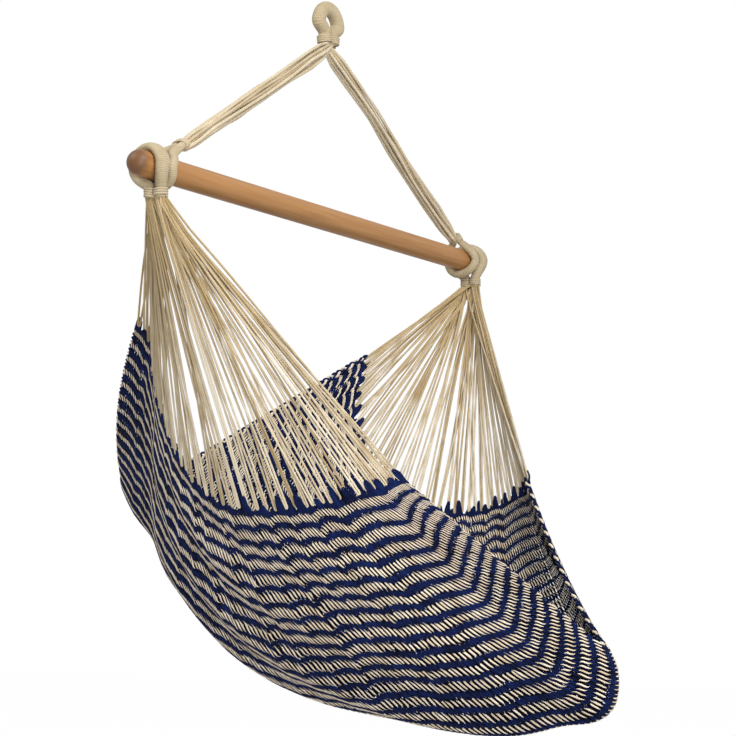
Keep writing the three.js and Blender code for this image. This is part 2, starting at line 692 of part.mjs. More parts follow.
function shellFrom(grid, thickness) {
  const rowCount = grid.length;
  const columnCount = grid[0].length;
  const places = [];
  const faces = [];
  for (const sign of [1, -1]) {
    for (let j = 0; j < rowCount; j += 1) {
      for (let i = 0; i < columnCount; i += 1) {
        const point = grid[j][i].clone().addScaledVector(outwardAt(grid, i, j), (sign * thickness) / 2);
        places.push(point.x, point.y, point.z);
      }
    }
  }
  const count = rowCount * columnCount;
  const at = (i, j) => j * columnCount + i;
  for (let j = 0; j + 1 < rowCount; j += 1) {
    for (let i = 0; i + 1 < columnCount; i += 1) {
      const a = at(i, j);
      const b = at(i + 1, j);
      const c = at(i + 1, j + 1);
      const d = at(i, j + 1);
      faces.push(a, c, b, a, d, c);
      faces.push(a + count, b + count, c + count, a + count, c + count, d + count);
    }
  }
  const rim = [];
  for (let i = 0; i + 1 < columnCount; i += 1) rim.push(at(i, 0));
  for (let j = 0; j + 1 < rowCount; j += 1) rim.push(at(columnCount - 1, j));
  for (let i = columnCount - 1; i > 0; i -= 1) rim.push(at(i, rowCount - 1));
  for (let j = rowCount - 1; j > 0; j -= 1) rim.push(at(0, j));
  for (let n = 0; n < rim.length; n += 1) {
    const a = rim[n];
    const b = rim[(n + 1) % rim.length];
    faces.push(a, b, b + count, a, b + count, a + count);
  }
  const geometry = new THREE.BufferGeometry();
  geometry.setAttribute('position', new THREE.Float32BufferAttribute(places, 3));
  geometry.setIndex(faces);
  geometry.computeVertexNormals();
  return geometry;
}

place('woven_seat', shellFrom(weave, WEAVE_THICKNESS), navyWeave());

// Braided edges, back and front, tapering into the corners

function edgeCord(row) {
  const points = row.map((point) => point.clone());
  const radii = points.map(() => edgeRadius);
  const last = points.length - 1;
  for (const [end, next] of [[0, 1], [last, last - 1]]) {
    const step = points[next].clone().sub(points[end]).normalize();
    points[end].addScaledVector(step, edgeRadius);
    radii[end] = edgeRadius * EDGE_TIP_SHARE;
  }
  return tube(points, radii, 6);
}

place('back_edge_cord', edgeCord(folded[0]), navyEdge());
place('front_edge_cord', edgeCord(folded[WEAVE_ROWS]), navyEdge());

// Clew strings: each fan is bound together under its seizing and ends on the weave's end loops

const rootPlaceZ = neckPlace.z - GAP - FAN_ROOT_SPREAD;
const rowsPerFan = WEAVE_ROWS / FAN_COUNT;

function clewCordPoints(side) {
  const points = [];
  for (let j = 0; j <= WEAVE_ROWS; j += 1) points.push(sheetPlace(side, alongOfRow(j)));
  return points;
}

function fan(side, index, cordRings, cordPoints) {
  const first = index * rowsPerFan;
  const rings = cordRings.slice(first, first + rowsPerFan + 1).map(({ centre, along, ring }) => (
    { centre: centre.clone(), along, ring: ring.map((place) => place.clone()) }
  ));
  for (const place of rings[0].ring) place.addScaledVector(rings[0].along, GAP / 2);
  for (const place of rings[rowsPerFan].ring) place.addScaledVector(rings[rowsPerFan].along, -GAP / 2);
  let solid = solidOf(tubeFromRings(rings));
  const middle = (FAN_COUNT - 1) / 2;
  const rootY = neckPlace.y + (middle - index) * FAN_ROOT_PITCH;
  const root = new THREE.Vector3(side * neckReach, rootY, rootPlaceZ);
  const knot = new THREE.SphereGeometry(FAN_ROOT_SPREAD, 8, 6);
  knot.translate(root.x, root.y, root.z);
  solid = solid.add(solidOf(knot));
  for (let k = 0; k < STRINGS_PER_SIDE; k += 1) {
    const evenRow = rowOfAlong((k + 0.5) / STRINGS_PER_SIDE);
    if (evenRow < first || evenRow >= first + rowsPerFan) continue;
    const lastRow = first + rowsPerFan - JOINT_CLEAR_SHARE;
    const row = THREE.MathUtils.clamp(evenRow, first + JOINT_CLEAR_SHARE, lastRow);
    const share = (row - first) / rowsPerFan;
    const low = Math.min(Math.floor(row), WEAVE_ROWS - 1);
    const end = cordPoints[low].clone().lerp(cordPoints[low + 1], row - low);
    const start = root.clone();
    start.y += (0.5 - share) * FAN_ROOT_SPREAD;
    solid = solid.add(solidOf(tube([start, end], STRING_DIAMETER / 2, 4)));
  }
  return geometryOf(solid.simplify(4 * MERGE_TOLERANCE));
}

for (const [word, side] of [['right', -1], ['left', 1]]) {
  const cordPoints = clewCordPoints(side);
  const cordRings = ringsAlong(cordPoints, clewRadius, clewRadius, 5);
  for (let index = 0; index < FAN_COUNT; index += 1) {
    place(`${word}_clew_strings_${index + 1}`, fan(side, index, cordRings, cordPoints), creamCord());
  }
}

export default chair;
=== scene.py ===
import math

import bpy
import numpy as np
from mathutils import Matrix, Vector


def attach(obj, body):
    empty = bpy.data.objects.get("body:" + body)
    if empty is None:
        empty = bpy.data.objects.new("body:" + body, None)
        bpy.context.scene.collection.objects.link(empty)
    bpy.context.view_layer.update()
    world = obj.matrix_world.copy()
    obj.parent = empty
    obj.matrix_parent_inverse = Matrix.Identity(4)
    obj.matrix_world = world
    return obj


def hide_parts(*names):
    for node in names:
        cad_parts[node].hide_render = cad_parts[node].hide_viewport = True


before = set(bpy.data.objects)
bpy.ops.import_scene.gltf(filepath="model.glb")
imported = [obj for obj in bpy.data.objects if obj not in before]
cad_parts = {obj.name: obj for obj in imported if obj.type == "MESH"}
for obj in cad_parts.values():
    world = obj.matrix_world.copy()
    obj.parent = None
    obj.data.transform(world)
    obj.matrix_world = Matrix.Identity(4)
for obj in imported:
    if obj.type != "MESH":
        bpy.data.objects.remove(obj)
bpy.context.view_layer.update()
scene = bpy.context.scene
scene.view_settings.view_transform = "Standard"

# The camera stands at the photograph's place, to the chair's right front: 3.3 m from the upright line
# through the hanging point and 0.67 m below the bar. It looks up a little, and aims just beside that line.

view_azimuth = math.radians(-57.346)
view_elevation = math.radians(-7.195)
view_distance = 3.306
view_aside = 0.0689
view_height = -0.616
focal_pixels = 1949.9
photo_width = 736
sensor_width = 36.0

camera_data = bpy.data.cameras.new("view")
camera_data.sensor_width = sensor_width
camera_data.lens = focal_pixels / photo_width * sensor_width
camera_data.clip_end = 50.0
camera = bpy.data.objects.new("view", camera_data)
scene.collection.objects.link(camera)
scene.camera = camera
view_back = Vector((
    math.sin(view_azimuth) * math.cos(view_elevation),
    -math.cos(view_azimuth) * math.cos(view_elevation),
    math.sin(view_elevation),
))
view_right = Vector((math.cos(view_azimuth), math.sin(view_azimuth), 0.0))
camera.location = Vector((0, 0, view_height)) + view_right * view_aside + view_back * view_distance
camera.rotation_euler = view_back.to_track_quat("Z", "Y").to_euler()

# The stage is a pale floor well under the chair and a plain white studio round it. A broad lamp lights
# the chair's front from above and another fills in from the camera's side. A small one picks out the
# hanging eye, and one behind the chair's right reaches the far strings.

floor_height = -1.72
floor_size = 30.0
floor_glow = 1.13
floor_glow_share = 0.85
room_light = 0.26
grey = (0.8, 0.8, 0.8, 1.0)
white = (1.0, 1.0, 1.0, 1.0)


class Signal:
    """One socket of a finish's nodes. Arithmetic on it adds Math nodes; node() adds any other."""

    def __init__(self, tree, socket=None):
        self.tree = tree
        self.socket = socket

    def node(self, kind, settings=None, inputs=None, output=0):
        """Add a node: its settings first, then the values or signals of its inputs."""
        made = self.tree.nodes.new(kind)
        for key, value in (settings or {}).items():
            if key == "stops":
                ramp = made.color_ramp
                for stop, (place, colour) in zip(list(ramp.elements), (value[0], value[-1])):
                    stop.position = place
                    stop.color = colour
                for place, colour in value[1:-1]:
                    ramp.elements.new(place).color = colour
            else:
                setattr(made, key, value)
        for key, value in (inputs or {}).items():
            if isinstance(value, Signal):
                self.tree.links.new(value.socket, made.inputs[key])
            else:
                made.inputs[key].default_value = value
        return Signal(self.tree, made.outputs[output] if len(made.outputs) else None)

    def pick(self, output):
        """Another output of the node that this signal comes from."""
        return Signal(self.tree, self.socket.node.outputs[output])

    def maths(self, operation, *values):
        return self.node("ShaderNodeMath", {"operation": operation}, dict(enumerate(values)))

    def mix(self, low, high):
        """Colours mixed by this signal. A Mix node's colours are its inputs 6 and 7 and its output 2."""
        return self.node("ShaderNodeMix", {"data_type": "RGBA"}, {0: self, 6: low, 7: high}, 2)

    def clamped(self):
        return self.node("ShaderNodeClamp", {}, {0: self})

    def __add__(self, other):
        return self.maths("ADD", self, other)

    def __sub__(self, other):
        return self.maths("SUBTRACT", self, other)

    def __rsub__(self, other):
        return self.maths("SUBTRACT", other, self)

    def __mul__(self, other):
        return self.maths("MULTIPLY", self, other)

    def __truediv__(self, other):
        return self.maths("DIVIDE", self, other)

    def __rtruediv__(self, other):
        return self.maths("DIVIDE", other, self)

    __radd__ = __add__
    __rmul__ = __mul__


def new_finish(name):
    """An empty material, with the signal that its nodes start from."""
    material = bpy.data.materials.new(name)
    material.use_nodes = True
    material.node_tree.nodes.clear()
    return material, Signal(material.node_tree)


def where_seen(nodes):
    """1 for rays from the camera, also by way of gloss or glass, and 0 for those that only carry light."""
    camera_ray = nodes.node("ShaderNodeLightPath", output="Is Camera Ray")
    seen = camera_ray.maths("MAXIMUM", camera_ray, camera_ray.pick("Is Glossy Ray"))
    return seen.maths("MAXIMUM", seen, camera_ray.pick("Is Transmission Ray"))


floor_corners = [(-1, -1), (1, -1), (1, 1), (-1, 1)]
floor_places = [(x * floor_size / 2, y * floor_size / 2, floor_height) for x, y in floor_corners]
floor_mesh = bpy.data.meshes.new("floor")
floor_mesh.from_pydata(floor_places, [], [(0, 1, 2, 3)])
floor = bpy.data.objects.new("floor", floor_mesh)
scene.collection.objects.link(floor)
floor_finish, floor_nodes = new_finish("pale floor")
glow_share = where_seen(floor_nodes) * floor_glow_share
painted = floor_nodes.node("ShaderNodeBsdfDiffuse", {}, {"Color": grey})
glowing = floor_nodes.node("ShaderNodeEmission", {}, {"Color": white, "Strength": floor_glow})
floor_surface = floor_nodes.node("ShaderNodeMixShader", {}, {0: glow_share, 1: painted, 2: glowing})
floor_nodes.node("ShaderNodeOutputMaterial", {}, {0: floor_surface})
floor_mesh.materials.append(floor_finish)

studio = bpy.data.worlds.new("studio")
scene.world = studio
studio.use_nodes = True
studio.node_tree.nodes.clear()
air = Signal(studio.node_tree)
brightness = where_seen(air) * (1 - room_light) + room_light
backdrop = air.node("ShaderNodeBackground", {}, {"Color": white, "Strength": brightness})
air.node("ShaderNodeOutputWorld", {}, {0: backdrop})


def lamp(name, place, aim, size, watts):
    """A square lamp at a place, turned to shine at its aim."""
    data = bpy.data.lights.new(name, "AREA")
    data.shape = "SQUARE"
    data.size = size
    data.energy = watts
    held = bpy.data.objects.new(name, data)
    held.location = place
    held.rotation_euler = (Vector(place) - Vector(aim)).to_track_quat("Z", "Y").to_euler()
    scene.collection.objects.link(held)


chair_middle = (0.0, -0.05, -0.7)
eye_aim = (0.0, 0.0, 0.1)
far_strings_aim = (0.25, -0.4, -0.9)
lamp("key", (-1.3, -3.0, 1.8), chair_middle, size=1.5, watts=92)
lamp("fill", (-2.3, -2.5, -0.8), chair_middle, size=1.2, watts=50)
lamp("top", (-1.0, -1.3, 0.6), eye_aim, size=0.7, watts=6)
lamp("back", (-1.9, 0.9, 1.2), far_strings_aim, size=1.0, watts=28)

# Spreader bar. A turned hardwood dowel with domed ends, sanded and rubbed with oil, so that its
# grain shows as fine streaks along it. It carries the two bridle loops and the two hammock eyes.

bar_length = 1.05
bar_radius = 0.02
bar_height = -0.36
bar_end = bar_length / 2
bar_sides = 64
bar_tip_radius = 0.0004
dome_steps = 12
run_steps = 90
grain_stretch = (2.2, 46.0, 46.0)
pore_stretch = (14.0, 420.0, 420.0)
end_darkening_length = 0.024
end_darkening_rise = 70.0


def mesh_from(name, places, loops, totals, around, tone=None):
    """A smooth mesh straight from arrays, with its lay kept as a UV map and its tone as an attribute."""
    mesh = bpy.data.meshes.new(name)
    mesh.vertices.add(len(places))
    mesh.vertices.foreach_set("co", np.ascontiguousarray(places, dtype=np.float32).reshape(-1))
    mesh.loops.add(len(loops))
    mesh.loops.foreach_set("vertex_index", np.ascontiguousarray(loops, dtype=np.int32))
    mesh.polygons.add(len(totals))
    starts = np.concatenate([[0], np.cumsum(totals)[:-1]])
    mesh.polygons.foreach_set("loop_start", np.ascontiguousarray(starts, dtype=np.int32))
    mesh.polygons.foreach_set("use_smooth", np.ones(len(totals), dtype=bool))
    mesh.update(calc_edges=True)
    lay = mesh.uv_layers.new(name="lay")
    lay.data.foreach_set("uv", np.ascontiguousarray(around, dtype=np.float32).reshape(-1))
    if tone is not None:
        shade = mesh.attributes.new("tone", "FLOAT", "POINT")
        shade.data.foreach_set("value", np.ascontiguousarray(tone, dtype=np.float32))
    mesh.validate()
    return mesh


def solid_of_rings(name, rings, laid=None):
    """A mesh through rings of places, each ring one row, its two end rings shut by a flat face."""
    count, sides, _ = rings.shape
    if laid is None:
        steps = np.linalg.norm(np.diff(rings.mean(axis=1), axis=0), axis=1)
        laid = np.concatenate([[0], np.cumsum(steps)])
    k = np.arange(sides)
    after = (k + 1) % sides
    row = np.arange(count - 1)[:, None] * sides
    quads = np.stack([row + k, row + after, row + sides + after, row + sides + k], axis=-1)
    low = np.broadcast_to(laid[:-1, None], (count - 1, sides))
    high = np.broadcast_to(laid[1:, None], (count - 1, sides))
    laid_to = np.stack([low, low, high, high], axis=-1)
    turned = np.broadcast_to(np.stack([k, k + 1, k + 1, k], axis=-1) / sides, laid_to.shape)
    around = np.concatenate([
        np.stack([laid_to, turned], axis=-1).reshape(-1, 2),
        np.stack([np.full(sides, laid[0]), k[::-1] / sides], axis=-1),
        np.stack([np.full(sides, laid[-1]), k / sides], axis=-1),
    ])
    loops = np.concatenate([quads.reshape(-1), k[::-1], (count - 1) * sides + k])
    totals = np.concatenate([np.full((count - 1) * sides, 4), [sides, sides]])
    return mesh_from(name, rings.reshape(-1, 3), loops, totals, around)


def piece_of(mesh, finish, body):
    """An object of the mesh, dressed in the finish, riding on the body."""
    made = bpy.data.objects.new(mesh.name, mesh)
    scene.collection.objects.link(made)
    mesh.materials.append(finish)
    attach(made, body)
    return made


def linear(red, green, blue):
    """A colour given as it shows on a screen, from 0 to 255, in the renderer's own scale."""
    shares = [channel / 255 for channel in (red, green, blue)]
    return (*[s / 12.92 if s <= 0.04045 else ((s + 0.055) / 1.055) ** 2.4 for s in shares], 1.0)


def oiled_wood():
    """Browns streaked along the grain, with fine dark pores, clouds of oil and ends that turn darker."""
    material, nodes = new_finish("oiled wood")
    place = nodes.node("ShaderNodeTexCoord", output="Object")
    streaks = nodes.node("ShaderNodeMapping", {}, {"Vector": place, "Scale": grain_stretch})
    grain = nodes.node("ShaderNodeTexNoise", {}, {
        "Vector": streaks, "Scale": 3.0, "Detail": 7.0, "Distortion": 0.5})
    drawn_out = nodes.node("ShaderNodeMapping", {}, {"Vector": place, "Scale": pore_stretch})
    pores = nodes.node("ShaderNodeTexNoise", {}, {"Vector": drawn_out, "Scale": 2.0, "Detail": 3.0})
    clouds = nodes.node("ShaderNodeTexNoise", {}, {"Vector": place, "Scale": 5.0, "Detail": 2.0})
    browns = [(0.25, linear(148, 103, 58)), (0.5, linear(163, 117, 68)), (0.75, linear(175, 129, 79))]
    body = nodes.node("ShaderNodeValToRGB", {"stops": browns}, {0: grain})
    pore_share = (pores * -9.0 + 4.1).clamped() * 0.2
    cloud_share = (clouds * -4.0 + 2.1).clamped() * 0.15
    colour = (pore_share + cloud_share).mix(body, linear(158, 104, 58))
    along = nodes.node("ShaderNodeSeparateXYZ", {}, {0: place})
    # The colour turns darker towards each end of the bar.
    end_darkening = (along.maths("ABSOLUTE", along) - (bar_end - end_darkening_length)) * end_darkening_rise
    colour = (end_darkening.clamped() * (clouds * 0.5 + 0.55)).mix(colour, linear(76, 43, 22))
    bump = nodes.node("ShaderNodeBump", {}, {
        "Strength": 0.16, "Distance": 0.0004, "Height": grain + pores * 0.6})
    surface = nodes.node("ShaderNodeBsdfPrincipled", {}, {
        "Base Color": colour, "Roughness": pores * 0.16 + 0.4, "Normal": bump, "Specular IOR Level": 0.4})
    nodes.node("ShaderNodeOutputMaterial", {}, {0: surface})
    return material


quarter = np.linspace(0.0, math.pi / 2, dome_steps)
dome = [(bar_radius * (1 - math.cos(a)), max(bar_radius * math.sin(a), bar_tip_radius)) for a in quarter]
stations = [(-bar_end + inset, r) for inset, r in dome]
middle_run = np.linspace(-bar_end + bar_radius, bar_end - bar_radius, run_steps)[1:-1]
stations += [(x, bar_radius) for x in middle_run]
stations += [(-x, r) for x, r in stations[:dome_steps][::-1]]
turn = 2 * math.pi * np.arange(bar_sides) / bar_sides
bar_rings = np.array([
    np.stack([0 * turn + x, -r * np.cos(turn), bar_height + r * np.sin(turn)], axis=-1)
    for x, r in stations])
bar = piece_of(solid_of_rings("oiled_bar", bar_rings), oiled_wood(), "bar")
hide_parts("spreader_bar")

# Hanging eye. The bridle's cords are laid together, bent into a loop for the hook and whipped over
# all their length with fine cotton cord, turn against turn, so the loop is smooth and finely ribbed.

eye_rope = 0.024
eye_hole_width = 0.033
neck_bottom = -0.049
neck_rope = 0.021
rib_pitch = 0.0023
rib_depth = 0.0007
rib_middle = 0.6
rib_wander = 0.25
rib_wander_knots = 24
crown_steps = 8
fibre_scale = 900.0
mottle_scale = 38.0
groove_shade_darkness = 0.35
crowded_shade_share = 0.8
cord_relief = 0.0003
draw = np.random.default_rng(7)


def lengths_along(line):
    """How far along a line of places each place lies."""
    return np.concatenate([[0], np.cumsum(np.linalg.norm(np.diff(line, axis=0), axis=1))])


def at_lengths(line, lengths, wanted):
    """The places of a line at the lengths wanted along it."""
    return np.stack([np.interp(wanted, lengths, line[:, k]) for k in range(3)], axis=-1)


def smooth_path(points, spacing, powered=0.5, pieces=40):
    """A smooth line through points, in even steps: its places, their lengths along it, and the points'."""
    points = np.asarray(points, dtype=float)
    padded = np.concatenate([[2 * points[0] - points[1]], points, [2 * points[-1] - points[-2]]])
    rows = []
    t = np.linspace(0.0, 1.0, pieces, endpoint=False)[:, None]
    for a, b, c, d in zip(padded[:-3], padded[1:-2], padded[2:-1], padded[3:]):
        ab, bc, cd = [max(np.linalg.norm(q - p) ** powered, 1e-6) for p, q in ((a, b), (b, c), (c, d))]
        lean_b = ((b - a) / ab - (c - a) / (ab + bc) + (c - b) / bc) * bc
        lean_c = ((c - b) / bc - (d - b) / (bc + cd) + (d - c) / cd) * bc
        t2, t3 = t ** 2, t ** 3
        rows.append((2 * t3 - 3 * t2 + 1) * b + (t3 - 2 * t2 + t) * lean_b
                    + (3 * t2 - 2 * t3) * c + (t3 - t2) * lean_c)
    line = np.concatenate([*rows, points[-1:]])
    lengths = lengths_along(line)
    count = max(int(round(lengths[-1] / spacing)), 2)
    marks = np.linspace(0, lengths[-1], count + 1)
    return at_lengths(line, lengths, marks), marks, lengths[np.arange(len(points)) * pieces]


def carried_sides(line, start_side):
    """Side and up directions along a line, carried from place to place without twist."""
    along = np.gradient(line, axis=0)
    along /= np.linalg.norm(along, axis=1)[:, None]
    side = np.array(start_side, dtype=float)
    sides = np.zeros_like(line)
    for i, way in enumerate(along):
        side = side - way * side.dot(way)
        side /= np.linalg.norm(side)
        sides[i] = side
    return along, sides, np.cross(along, sides)


def wound_rope(name, stations, start_side, sides=28, pitch=rib_pitch, depth=rib_depth, rough=0.0):
    """A rope through stations (place, half width, half depth), wound over with cord at a fine pitch."""
    line, marks, knots = smooth_path([spot[0] for spot in stations], pitch / 4)
    wide = np.interp(marks, knots, [spot[1] for spot in stations])
    deep = np.interp(marks, knots, [spot[2] for spot in stations])
    _, side, up = carried_sides(line, start_side)
    angle = 2 * math.pi * (np.arange(sides) + 0.5) / sides
    knots = np.linspace(0, marks[-1], rib_wander_knots)
    wander = np.interp(marks, knots, draw.normal(0, 1, rib_wander_knots))
    turned = marks + rough * wander * pitch
    rib = (np.abs(np.sin(math.pi * turned[:, None] / pitch + angle[None, :] / 2)) - rib_middle) * depth
    rings = (line[:, None, :]
             + side[:, None, :] * ((wide[:, None] + rib) * np.cos(angle))[:, :, None]
             + up[:, None, :] * ((deep[:, None] + rib) * np.sin(angle))[:, :, None])
    return solid_of_rings(name, rings, turned / pitch)


def cotton(name, light, dark, lay, plies=3.0, mottle=0.35, shade=0.5, sheen=0.12, gloss=0.25, gathered=None):
    """Twisted cotton cord: its plies run slantwise round it, each with painted shade in the groove beside
    it.

    gathered is a painted shade for where the cords crowd together: its colour, the height above which it
    comes in and the height where it is full.
    """
    material, nodes = new_finish(name)
    laid = nodes.node("ShaderNodeSeparateXYZ", {}, {0: nodes.node("ShaderNodeUVMap", {"uv_map": "lay"})})
    turned = laid.pick("Y")
    wave = laid.maths("SINE", (laid / lay + turned) * (math.pi * plies))
    wave = wave.maths("ABSOLUTE", wave)
    place = nodes.node("ShaderNodeTexCoord", output="Object")
    fibres = nodes.node("ShaderNodeTexNoise", {}, {"Vector": place, "Scale": fibre_scale, "Detail": 3.0})
    clouds = nodes.node("ShaderNodeTexNoise", {}, {"Vector": place, "Scale": mottle_scale, "Detail": 3.0})
    tone = nodes.node("ShaderNodeAttribute", {"attribute_name": "tone"}, output="Fac")
    worn = ((clouds - 0.5) * (2.4 * mottle) + (fibres - 0.5) * 0.5 + tone * 0.5 + 0.5).clamped()
    colour = worn.mix(dark, light)
    # Painted shade: above a given height the colour goes deeper, where the cords crowd together.
    if gathered:
        crowded_shade, low, high = gathered
        height = nodes.node("ShaderNodeSeparateXYZ", {}, {0: place}, "Z")
        colour = (((height - low) / (high - low)).clamped() * crowded_shade_share).mix(colour, crowded_shade)
    # Painted shade: the colour darkens in the groove beside each ply.
    painted_groove_shade = ((1 - wave) * shade * 0.5).clamped()
    colour = painted_groove_shade.mix(colour, [channel * groove_shade_darkness for channel in dark[:3]] + [1.0])
    bump = nodes.node("ShaderNodeBump", {}, {
        "Strength": 0.6, "Distance": cord_relief, "Height": wave * 0.8 + fibres * 0.35})
    surface = nodes.node("ShaderNodeBsdfPrincipled", {}, {
        "Base Color": colour, "Roughness": 0.92, "Normal": bump, "Specular IOR Level": gloss,
        "Sheen Weight": sheen, "Sheen Roughness": 0.5})
    nodes.node("ShaderNodeOutputMaterial", {}, {0: surface})
    return material


whipped = cotton("whipped cotton", linear(204, 189, 158), linear(164, 145, 112), lay=1.0, plies=1.0,
                 mottle=0.5, shade=0.8)

eye_radius = eye_rope / 2
neck_radius = neck_rope / 2
crown_radius = eye_hole_width / 2 + eye_radius
crown_centre = -(crown_radius - eye_radius)
eye_stations = [((-neck_radius - 0.0002, 0, neck_bottom - 0.001), neck_radius, neck_radius),
                ((-neck_radius - 0.0006, 0, -0.040), neck_radius, neck_radius),
                ((-neck_radius - 0.0030, 0, -0.029), neck_radius * 1.05, neck_radius * 1.05)]
for step in range(crown_steps + 1):
    angle = math.pi * (1 - step / crown_steps)
    place = (crown_radius * math.cos(angle), 0, crown_centre + crown_radius * math.sin(angle))
    eye_stations.append((place, eye_radius, eye_radius))
eye_stations += [((-x, y, z), wide, deep) for (x, y, z), wide, deep in eye_stations[2::-1]]
eye_mesh = wound_rope("whipped_eye", eye_stations, (0, 1, 0), rough=rib_wander)
eye = piece_of(eye_mesh, whipped, "hook_eye")
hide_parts("hanging_eye")

# Eye's seizing. Under the hole each leg of the eye is bound by itself with four turns of thicker
# cotton cord, laid close together, so that the neck is held in two wrapped groups.

seizing_cord = 0.0034
pressed_pitch = seizing_cord * 0.95
pressed_radius = seizing_cord * 0.48
turn_spacing = 1.02
eye_turns = 4
eye_turns_out = 0.0004
eye_turns_rise = 0.0045
eye_turns_lean = 0.10


def spun(name, paths, radii, sides=6, normals=None, flat=1.0, tone=0.0):
    """A mesh of many like cords. paths is (cords, places, 3); radii is one size, or one for each place.

    A cord is round, unless normals say which way it faces and flat how wide it is for its thickness.
    """
    paths = np.asarray(paths, dtype=float)
    cords, steps, _ = paths.shape
    radii = np.broadcast_to(np.asarray(radii, dtype=float), (cords, steps))
    along = np.gradient(paths, axis=1)
    along /= np.linalg.norm(along, axis=2)[:, :, None] + 1e-12
    level = np.abs(along[:, 0, 2]) < 0.9
    side = np.where(level[:, None], [0.0, 0.0, 1.0], [1.0, 0.0, 0.0])
    rings = np.zeros((cords, steps, sides, 3))
    angle = 2 * math.pi * np.arange(sides) / sides
    to_side = np.cos(angle)[None, :, None]
    to_up = np.sin(angle)[None, :, None]
    for i in range(steps):
        way = along[:, i]
        side = side if normals is None else normals[:, i] * 1.0
        side = side - way * (side * way).sum(axis=1)[:, None]
        side /= np.linalg.norm(side, axis=1)[:, None] + 1e-12
        up = np.cross(way, side) * flat
        spoke = to_side * side[:, None, :] + to_up * up[:, None, :]
        rings[:, i] = paths[:, i, None, :] + radii[:, i, None, None] * spoke
    laid = np.concatenate(
        [np.zeros((cords, 1)), np.cumsum(np.linalg.norm(np.diff(paths, axis=1), axis=2), axis=1)], axis=1)
    k = np.arange(sides)
    after = (k + 1) % sides
    row = np.arange(steps - 1)[:, None] * sides
    one = np.stack([row + k, row + after, row + sides + after, row + sides + k], axis=-1)
    start = (np.arange(cords) * steps * sides)[:, None]
    quads = (one.reshape(1, -1) + start).reshape(-1)
    ends = np.concatenate([(k[::-1] + start).reshape(-1), ((steps - 1) * sides + k + start).reshape(-1)])
    low = np.repeat(laid[:, :-1, None], sides, axis=2)
    high = np.repeat(laid[:, 1:, None], sides, axis=2)
    laid_to = np.stack([low, low, high, high], axis=-1)
    turned = np.broadcast_to(np.stack([k, k + 1, k + 1, k], axis=-1) / sides, laid_to.shape)
    around = np.concatenate([np.stack([laid_to, turned], axis=-1).reshape(-1, 2), np.zeros((len(ends), 2))])
    totals = np.concatenate([np.full(cords * (steps - 1) * sides, 4), np.full(2 * cords, sides)])
    shade = np.broadcast_to(np.asarray(tone, dtype=float).reshape(-1, 1), (cords, steps * sides)).reshape(-1)
    return mesh_from(name, rings.reshape(-1, 3), np.concatenate([quads, ends]), totals, around, shade)


def binding(centre, axis, wide, half_wide, half_deep, turns, cord, lean=0.0, per_turn=28):
    """The path of one cord wound closely round an oval neck: a row of places."""
    axis = np.array(axis, dtype=float) / np.linalg.norm(axis)
    wide = np.array(wide, dtype=float)
    wide -= axis * wide.dot(axis)
    wide /= np.linalg.norm(wide)
    deep = np.cross(axis, wide)
    steps = int(turns * per_turn)
    t = np.arange(steps + 1) / per_turn
    angle = 2 * math.pi * t
    rise = (t - turns / 2) * cord * turn_spacing + lean * np.cos(angle)
    return (np.array(centre)[None, :] + axis[None, :] * rise[:, None]
            + wide[None, :] * ((half_wide + cord / 2) * np.cos(angle))[:, None]
            + deep[None, :] * ((half_deep + cord / 2) * np.sin(angle))[:, None])


seizing = cotton("seizing cord", linear(208, 193, 163), linear(168, 150, 117), lay=0.012,
                 mottle=0.4, shade=0.45)
eye_seizing = []
for side in (-1, 1):
    centre = (side * (neck_radius + eye_turns_out), 0, neck_bottom + eye_turns_rise)
    axis = (eye_turns_lean * side, 0, 1)
    eye_seizing.append(binding(centre, axis, (1, 0, 0), neck_radius, neck_radius, eye_turns, pressed_pitch))
seizing_mesh = spun("eye_seizing", eye_seizing, pressed_radius, sides=10)
eye_bound = piece_of(seizing_mesh, seizing, "hook_eye")
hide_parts("hanging_eye_seizing")

# Bridle. A dozen soft cotton cords run from the eye to each end of the bar, lying loosely side by
# side. They come out of the eye's neck close together, and close up again at the loops round the bar.

swing_height = -0.0583
bridle_ends = {"right": (-1, 0.407, 0.047), "left": (1, 0.433, 0.038)}
bridle_cord = 0.0054
bridle_count = 13
bridle_steps = 42
bridle_spreads = [0.0058, 0.0082, 0.0125, 0.0125, 0.0118, 0.0075]
bridle_shares = [0, 0.025, 0.075, 0.6, 0.94, 1]
left_bridle_sway = 0.0025
root_aside, root_back, root_rise = 0.003, 0.005, 0.004
foot_inset = 0.003
cord_drift = 0.0016
drift_knots = 7
bridle_tone_chance = 0.35
cream = cotton("cream cord", linear(224, 211, 184), linear(180, 160, 126), lay=0.014, shade=0.32)


def packed_places(count, spread, seed):
    """Places for cords in a round bundle, as evenly spread as a sunflower's seeds."""
    golden_angle = 2.39996
    k = np.arange(count) + 0.5
    radius = spread * np.sqrt(k / count)
    angle = k * golden_angle + seed
    return np.stack([radius * np.cos(angle), radius * np.sin(angle)], axis=-1)


